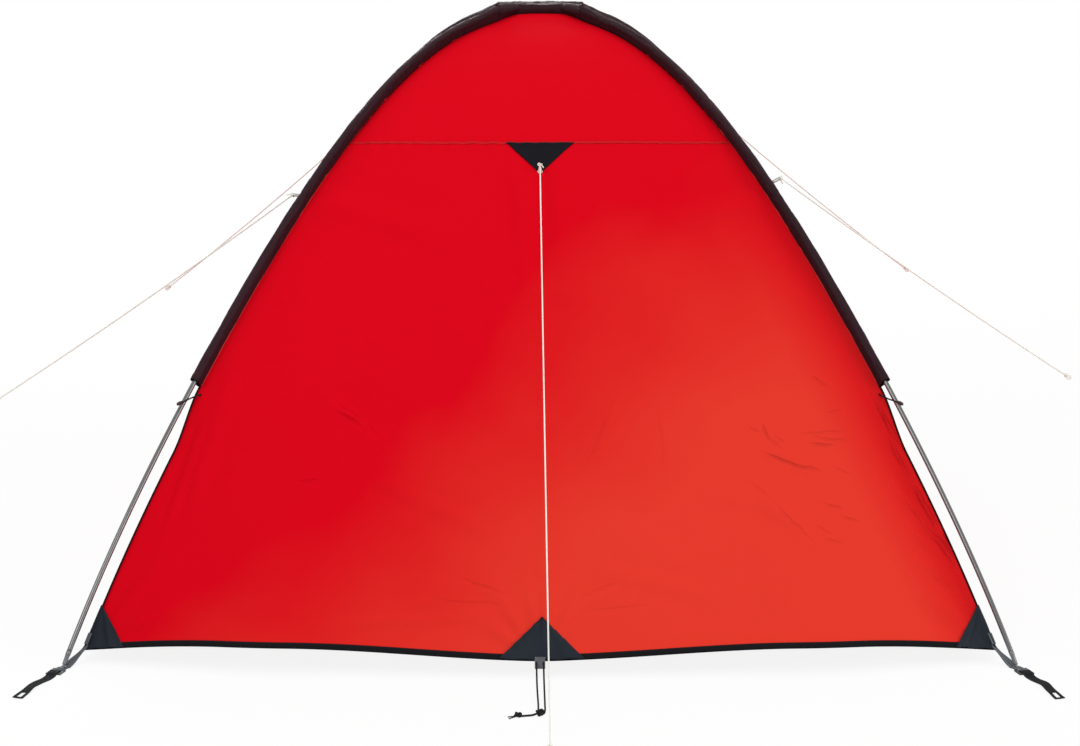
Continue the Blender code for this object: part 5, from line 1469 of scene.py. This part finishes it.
def makeToggles():
    def section(u, angle):
        size = shaped(togglePlan["shape"], u) * (1 + 0.035 * math.cos(2 * math.pi * u * 7) * (0.2 < u < 0.85))
        return (rounded(math.sin(angle), 0.8) * togglePlan["thick"] * size,
                -rounded(math.cos(angle), 0.8) * togglePlan["wide"] * size)

    def tabOutline(u):
        return bandOutline(togglePlan["tabWidth"] - togglePlan["tabTaper"] * u, togglePlan["tabThick"],
                           -togglePlan["tabThick"] / 2)

    for tag in cornerTags:
        joint = joints["leg_toggle_swivel_" + tag]
        start, heading = Vector(joint["pos_m"]), Vector(joint["axis"]).normalized()
        low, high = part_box("leg_toggle_" + tag)
        if ((Vector(low) + Vector(high)) / 2 - start).dot(heading) < 0:
            heading = -heading
        side = cornerSigned(Vector((-outY, outX, 0)), tag)
        third = heading.cross(side).normalized()
        bodyStart = togglePlan["reach"]
        frames = [(start + heading * run + third * (0.0009 * math.sin(run * 70)), side, third)
                  for run in spread(0, bodyStart + 0.002, 24)]
        mesh = tubeMesh(frames, togglePlan["cordRadius"], 12, bodyStart)
        finishPiece("leg_toggle_cord_" + tag, mesh, "darkCord", "toggle_" + tag)
        frames = [(start + heading * (bodyStart + togglePlan["body"] * part), side, third) for part in spread(0, 1, 24)]
        finishPiece("leg_toggle_grip_" + tag, tubeMesh(frames, section, 28, togglePlan["body"]), "blackPlastic",
                    "toggle_" + tag, replaces=("leg_toggle_" + tag,))
        frames = [(start + heading * run, third, side)
                  for run in spread(togglePlan["tabFrom"], togglePlan["tabTo"], 10)]
        stripPiece("leg_toggle_tab_" + tag, frames, tabOutline, "hemTape", length=togglePlan["tabLength"])


makeToggles()
print("toggles")


# Corner straps, buckles and peg straps

strapPlan = {"width": 0.020, "folded": 0.46, "thick": 0.0016, "ground": 0.0008, "turn": math.radians(12), "up": 0.030,
             "pivot": 0.02045, "points": 64, "lift": 0.0028, "pin": 0.0032, "ring": 0.0062,
             "back": ((1.0, -0.0003), (0.66, 0.0), (0.33, 0.0)),      # share of up, lift from the usual one
             "ahead": ((0.004, 0.0), (0.0140, 0.0006), (0.0178, 0.0032), (0.0212, 0.0036), (0.0245, 0.0016))}
pegStrapPlan = {"width": 0.018, "thick": 0.0014, "slot": 0.0040, "slotFrom": 0.1405, "slotTo": 0.1685,
                "drift": 0.0050, "lane": ((0.0085, 0.0030), (0.0102, 0.0043), (0.0130, 0.0044), (0.0200, 0.0044),
                                          (0.0262, 0.0043), (0.0310, 0.0028), (0.0360, 0.0012), (0.0600, 0.0009),
                                          (0.1000, 0.0024), (0.1400, 0.0012), (0.1745, 0.0009))}


def cornerAxes(tag):
    signX, signY = cornerTags[tag]
    turn = strapPlan["turn"]
    foot = Vector((signX * lineSizes["footX"], signY * lineSizes["footY"], strapPlan["ground"]))
    diagonal = Vector((signX * outX, signY * outY, 0))
    ahead = Vector((signX * math.sin(turn), signY * math.cos(turn), 0))
    return foot, diagonal, Vector((-diagonal.y, diagonal.x, 0)), ahead, Vector((-ahead.y, ahead.x, 0))


def strapOutline(u):
    # folded narrow where it is sewn on the patch, flat and full width at the eyelet
    width = strapPlan["width"] * mapped(strapPlan["folded"], 1.0, eased((u - 0.30) / 0.34))
    return bandOutline(width, strapPlan["thick"])


def makeCornerStraps():
    middle, width = (strapPlan["pin"] + strapPlan["ring"]) / 2, strapPlan["ring"] - strapPlan["pin"]
    for tag in cornerTags:
        foot, diagonal, acrossDiagonal, ahead, acrossAhead = cornerAxes(tag)

        def cornerAt(back, lift):
            distance = hemDistance - back
            return cornerSigned(clothCorner(distance) + fromCrown(distance)[2] * (strapPlan["lift"] + lift), tag)

        route = [cornerAt(strapPlan["up"] * share, lift) for share, lift in strapPlan["back"]]
        route += [cornerAt(0.001, -0.0004), foot - diagonal * 0.0118 + skyward * 0.0012, foot - diagonal * 0.0050]
        route += [foot + ahead * run + skyward * rise for run, rise in strapPlan["ahead"]]
        points = smoothLine(route, strapPlan["points"])
        frames = []
        for spot, along in zip(points, headings(points)):
            part = eased(((spot - foot).dot(ahead) + 0.006) / 0.018)
            aside = acrossDiagonal.lerp(acrossAhead, part)
            aside = (aside - along * aside.dot(along)).normalized()
            rise = aside.cross(along)
            frames.append((spot, aside, rise if rise.z > 0 else -rise))
        stripPiece("corner_strap_webbing_" + tag, frames, strapOutline, "greyWebbing",
                   replaces=("corner_strap_" + tag,))
        centre = foot + skyward * (strapPlan["thick"] + 0.0002)
        ways = [Vector((math.cos(2 * math.pi * k / 32), math.sin(2 * math.pi * k / 32), 0)) for k in range(33)]
        mesh = tubeMesh([(centre + way * middle, way, skyward) for way in ways],
                        lambda u, angle: (width / 2 * math.sin(angle), 0.0005 * (1 - math.cos(angle))), 12,
                        2 * math.pi * middle, capped=False)
        finishPiece("eyelet_ring_" + tag, mesh, "darkMetal")


def softCopy(name, node, finish, body, width):
    # the CAD node's own shape with its edges rounded
    mesh = bmesh.new()
    mesh.from_mesh(frame["nodes"][node].data)
    weld(mesh, "solid")
    bmesh.ops.dissolve_limit(mesh, angle_limit=math.radians(1), verts=mesh.verts[:], edges=mesh.edges[:])
    sharp = [edge for edge in mesh.edges if len(edge.link_faces) == 2 and edge.calc_face_angle(0) > math.radians(30)]
    bmesh.ops.bevel(mesh, geom=sharp, offset=width, offset_type="OFFSET", segments=3, profile=0.5,
                    affect="EDGES", clamp_overlap=True, material=-1)
    return finishPiece(name, mesh, finish, body, replaces=(node,))


def makePegStraps():
    half, slot, thick = pegStrapPlan["width"] / 2, pegStrapPlan["slot"], pegStrapPlan["thick"]
    slotFrom, slotTo = pegStrapPlan["slotFrom"], pegStrapPlan["slotTo"]
    lane = [Vector((run, 0, height)) for run, height in pegStrapPlan["lane"]]
    lane = [(spot.x, spot.z) for spot in smoothLine(lane, 90)]
    runs = spread(lane[0][0], slotFrom, 70)[:-1] + spread(slotFrom, slotTo, 16)[:-1] + spread(slotTo, lane[-1][0], 6)
    asides = [-half, -half + 0.0008, -0.0065, -slot, -slot / 2, 0.0, slot / 2, slot, 0.0065, half - 0.0008, half]
    for tag, (signX, signY) in cornerTags.items():
        softCopy("buckle_frame_" + tag, "buckle_" + tag, "blackPlastic", "peg_buckle_" + tag, 0.0006)
        foot, diagonal, acrossDiagonal, ahead, acrossAhead = cornerAxes(tag)
        pivot = foot + ahead * strapPlan["pivot"]
        pivot.z = 0.0
        seed = signX * 2.0 + signY

        def driftAt(run):
            return pegStrapPlan["drift"] * math.sin(run * 16 + seed)

        def cell(u, v):
            return runs[round(u * (len(runs) - 1))], asides[round(v * (len(asides) - 1))]

        def place(u, v):
            run, aside = cell(u, v)
            loose = eased((run - 0.045) / 0.05)
            wave = 0.0022 * loose * max(0.0, waver(run * 26, seed, aside * 40) + 0.25)
            twist = loose * aside * 0.10 * math.sin(run * 34 + seed)
            height = max(0.0009, shaped(lane, run) + wave + max(-0.0006, twist)) + thick
            return pivot + ahead * run + acrossAhead * (aside + driftAt(run) * loose) + skyward * height

        def inSlot(spot):
            run = (spot - pivot).dot(ahead)
            return slotFrom < run < slotTo and abs((spot - pivot).dot(acrossAhead) - driftAt(run)) < slot * 0.95

        mesh = gridMesh(len(runs) - 1, len(asides) - 1, place, lambda u, v: (cell(u, v)[0], cell(u, v)[1] + half))
        dropFaces(mesh, inSlot)
        thicken(finishPiece("peg_strap_webbing_" + tag, mesh, "darkWebbing", "peg_buckle_" + tag, skyward,
                            ("peg_strap_" + tag,)), thick)


makeCornerStraps()
makePegStraps()
print("straps and buckles")


# Door's zip

zipPlan = {"fixedTape": (0.0102, 0.0200), "doorTape": (-0.0060, 0.0070), "tapeThick": 0.0006,
           "coil": 0.0010, "pitch": 0.0019, "fixedCoil": 0.0100, "doorCoil": 0.0078, "steps": 200, "rounds": 7,
           "lift": 0.0003, "coilLift": 0.0014, "start": 0.0205, "end": 0.004, "doorShort": 0.010}
foldPlan = {"start": 0.0215, "end": 0.012, "aside": 0.011, "width": 0.010, "thick": 0.0006, "steps": 140}


def doorEdge(sign):
    # one slanting edge of the door in the plane of the panel: its foot, its direction and its length
    foot = turned("rear", sign * doorPlan["hem"], planeReach("rear", cloth["hemMiddle"]), cloth["hemMiddle"])
    top = turned("rear", sign * doorPlan["tip"], planeReach("rear", doorTopHeight), doorTopHeight)
    return foot, (top - foot).normalized(), (top - foot).length


def edgeSpot(sign, run, aside, lift=0.0):
    # a point near one edge: run up along it, aside to the fixed cloth, lift off the cloth
    foot, upward = doorEdge(sign)[:2]
    outward = sideOutward("rear")
    sideways = outward.cross(upward)
    if sideways.x * sign < 0:
        sideways = -sideways
    spot = foot + upward * run + sideways * aside
    return spot + outward * (heldRise("rear", spot) + lift)


def zipBand(name, low, high, body, start, end):
    # flat tape along the zip between two places across it
    outward = sideOutward("rear")
    frames = []
    for run in spread(start, end, zipPlan["steps"]):
        across = (edgeSpot(-1, run, high) - edgeSpot(-1, run, low)).normalized()
        frames.append((edgeSpot(-1, run, (low + high) / 2), across, outward))
    outline = bandOutline(high - low, zipPlan["tapeThick"], zipPlan["lift"])
    stripPiece(name, frames, outline, "zipTape", body, end - start)


def zipCoil(name, aside, body, start, end):
    # toothed edge: a thin tube whose radius steps with each tooth
    count = int((end - start) / zipPlan["pitch"]) * 3
    points = [edgeSpot(-1, run, aside, zipPlan["coilLift"]) for run in spread(start, end, count)]
    radii = [zipPlan["coil"] * (0.62, 1.0, 1.0)[k % 3] for k in range(count + 1)]
    mesh = tubeMesh(flatFrames(points, sideOutward("rear")), radii, zipPlan["rounds"], end - start)
    finishPiece(name, mesh, "coilPlastic", body)


def makeZip():
    length = doorEdge(-1)[2]
    start, end = zipPlan["start"], length - zipPlan["end"]
    doorEnd = end - zipPlan["doorShort"]
    zipBand("zip_tape_fixed", *zipPlan["fixedTape"], "tent", start, end)
    zipBand("zip_tape_door", *zipPlan["doorTape"], "door", start, doorEnd)
    zipCoil("zip_coil_fixed", zipPlan["fixedCoil"], "tent", start, end)
    zipCoil("zip_coil_door", zipPlan["doorCoil"], "door", start, doorEnd)
    softCopy("zip_slider_metal", "zip_slider", "darkMetal", "slider", 0.0005)
    softCopy("zip_pull_metal", "zip_pull", "darkMetal", "pull", 0.0004)
    outward = sideOutward("rear")
    sideways = outward.cross(doorEdge(1)[1]).normalized()
    frames = [(edgeSpot(1, run, foldPlan["aside"]), sideways, outward)
              for run in spread(foldPlan["start"], length - foldPlan["end"], foldPlan["steps"])]
    stripPiece("door_fold_tape", frames, bandOutline(foldPlan["width"], foldPlan["thick"], 0.0003), "seamTape",
               length=length)


makeZip()
print("zip")


# Inner tent

innerPlan = {"x": 0.68, "y": 0.95, "tray": 0.10, "gap": 0.0003, "top": 0.99, "topShare": 0.02, "doorTop": 0.62,
             "doorHalfTop": 0.14, "doorHalfHem": 0.33, "sill": 0.03, "sag": 0.012, "columns": 60, "rows": 80,
             "bellows": 0.0030, "hanger": 0.0019}
innerSheets = {"canopy": {"wall": 0.0006, "flat": (3.0, 2.4), "area": 4.42},
               "door": {"wall": 0.0006, "flat": (0.67, 0.63), "area": 0.284},
               "tray": {"wall": 0.0008, "flat": (1.56, 2.10), "area": 3.23}}
innerSides = {"left": (1.0, Vector((-1, 0, 0.3))), "right": (2.0, Vector((1, 0, 0.3))),
              "front": (3.0, Vector((0, -1, 0.3))), "rear": (4.0, Vector((0, 1, 0.3)))}


def innerCorner(share):
    rise = innerPlan["top"] - innerPlan["tray"]
    return Vector((share * innerPlan["x"], share * innerPlan["y"],
                   innerPlan["tray"] + innerPlan["gap"] + rise * (1 - poleFall(share))))


innerSill = innerPlan["tray"] + innerPlan["gap"] + innerPlan["sill"]
innerDoorTop = innerCorner(innerPlan["doorTop"])
innerBase = innerCorner(1.0)
innerRoof = innerCorner(innerPlan["topShare"]).z


def innerRearReach(height):
    return mapped(innerDoorTop.y, innerBase.y, (innerDoorTop.z - height) / (innerDoorTop.z - innerBase.z))


def innerDoorHalf(height):
    part = clamped((innerDoorTop.z - height) / (innerDoorTop.z - innerSill))
    return mapped(innerPlan["doorHalfTop"], innerPlan["doorHalfHem"], part)


def innerSag(share, across, seed):
    # the hung cloth falls in a little between its corner seams
    middle = 1 - across * across
    fold = waver(across * 5, share * 6, seed) * innerPlan["bellows"]
    return innerPlan["sag"] * middle * math.sin(math.pi * share) + fold * middle * min(1.0, 6 * (1 - share))


def innerPoint(side, across, share):
    # a point of one wall of the inner tent, the rear one with columns that follow its door
    corner = innerCorner(share)
    axis = sides[side]["axis"]
    reach, half = corner[1 - axis], corner[axis]
    sag = innerSag(share, across, innerSides[side][0])
    if side != "rear":
        return turned(side, half * across, reach - sag, corner.z)
    door = innerPlan["doorHalfTop"] / innerDoorTop.x
    if share > innerPlan["doorTop"]:
        away = max(0.0, (abs(across) - 0.62) / 0.38)
        reach = mapped(innerRearReach(corner.z), reach, away ** 1.4)
        sag = 0.0
        door = innerDoorHalf(corner.z) / corner.x
    return turned(side, half * shared(across, door, 1.0, 0.5), reach - sag, corner.z)


def makeInner():
    parts = []
    for side, (seed, outward) in innerSides.items():
        mesh = gridMesh(innerPlan["columns"], innerPlan["rows"],
                        lambda u, v: innerPoint(side, 2 * u - 1, mapped(innerPlan["topShare"], 1.0, v)),
                        lambda u, v: (u * 1.6, v * 1.3))
        if side == "rear":
            dropFaces(mesh, lambda spot: innerSill < spot.z < innerDoorTop.z and abs(spot.x) < innerDoorHalf(spot.z))
        parts.append((mesh, outward))
    whole = merged(parts)
    weld(whole, "walls")
    topEdges = [edge for edge in whole.edges if edge.is_boundary
                and min(vert.co.z for vert in edge.verts) > innerRoof - 0.0005]
    bmesh.ops.holes_fill(whole, edges=topEdges, sides=0)
    clothPiece("inner_canopy_cloth", whole, "innerCloth", "inner_canopy", innerSheets["canopy"])

    def doorPlace(u, v):
        height = mapped(innerSill + 0.0006, innerDoorTop.z - 0.0006, v)
        across = 2 * u - 1
        fold = 0.0020 * waver(across * 4, height * 5, 9.0) * (1 - across * across) * math.sin(math.pi * v)
        return Vector(((innerDoorHalf(height) - 0.0010) * across, innerRearReach(height) - 0.0002 - abs(fold), height))

    mesh = gridMesh(50, 60, doorPlace, lambda u, v: (u * 0.66, v * 0.6))
    clothPiece("inner_door_cloth", mesh, "innerCloth", "inner_door", innerSheets["door"],
               "inner_door", innerSides["rear"][1])


def makeInnerDoorTape():
    # dark binding round the inner door's opening, on the canopy
    heights = spread(innerSill + 0.004, innerDoorTop.z, 60)
    rim = [(-innerDoorHalf(height) - 0.005, height) for height in heights]
    rim += [(across * (innerPlan["doorHalfTop"] + 0.005), innerDoorTop.z + 0.005) for across in spread(-1, 1, 24)[1:-1]]
    rim += [(innerDoorHalf(height) + 0.005, height) for height in reversed(heights)]
    points = [Vector((x, innerRearReach(min(z, innerDoorTop.z)) + 0.0004, z)) for x, z in rim]
    frames = flatFrames(points, Vector((0, 1, 0.35)).normalized())
    stripPiece("inner_door_binding", frames, bandOutline(0.010, 0.0008, 0.0002), "zipTape")


def makeTray():
    halfX, halfY, top = innerPlan["x"], innerPlan["y"], innerPlan["tray"]
    mesh = bmesh.new()
    layer = mesh.loops.layers.uv.new("UVMap")
    bmesh.ops.create_grid(mesh, x_segments=28, y_segments=38, size=0.5, calc_uvs=True)
    for vert in mesh.verts:
        vert.co = Vector((vert.co.x * 2 * halfX, vert.co.y * 2 * halfY, 0.0004))
    rim = [edge for edge in mesh.edges if edge.is_boundary]
    for step in range(5):
        grown = bmesh.ops.extrude_edge_only(mesh, edges=rim)["geom"]
        verts = [item for item in grown if isinstance(item, bmesh.types.BMVert)]
        bmesh.ops.translate(mesh, vec=(0, 0, (top - 0.0004) / 5), verts=verts)
        rim = [item for item in grown if isinstance(item, bmesh.types.BMEdge) and item.is_boundary
               and all(vert in verts for vert in item.verts)]
    for vert in mesh.verts:
        spot = vert.co
        if 0.01 < spot.z < top - 0.01:
            bulge = abs(0.0016 * noise.noise(spot * 9.0))
            spot.x -= math.copysign(bulge, spot.x) * (abs(spot.x) > halfX - 0.001)
            spot.y -= math.copysign(bulge, spot.y) * (abs(spot.y) > halfY - 0.001)
        elif min(halfX - abs(spot.x), halfY - abs(spot.y)) > 0.03 and spot.z < 0.01:
            spot.z += 0.0012 * max(0.0, noise.noise(spot * 7.0))
    for face in mesh.faces:
        for loop in face.loops:
            spot = loop.vert.co
            loop[layer].uv = (spot.x + spot.z, spot.y + spot.z)
    plan = innerSheets["tray"]
    tray = finishPiece("inner_floor_tray", mesh, "floorCloth", outward=skyward, replaces=("inner_floor",))
    thicken(tray, plan["wall"], 1.0)


def makeHanger():
    high = lineSizes["crown"] - lineSizes["lift"] - rodPlan["radius"] - 0.0003
    points = [skyward * height for height in spread(innerRoof, high, 20)]
    cordTube("inner_hanger_cord", points, innerPlan["hanger"], "darkCord")


makeInner()
makeInnerDoorTape()
makeTray()
makeHanger()
print("inner tent")
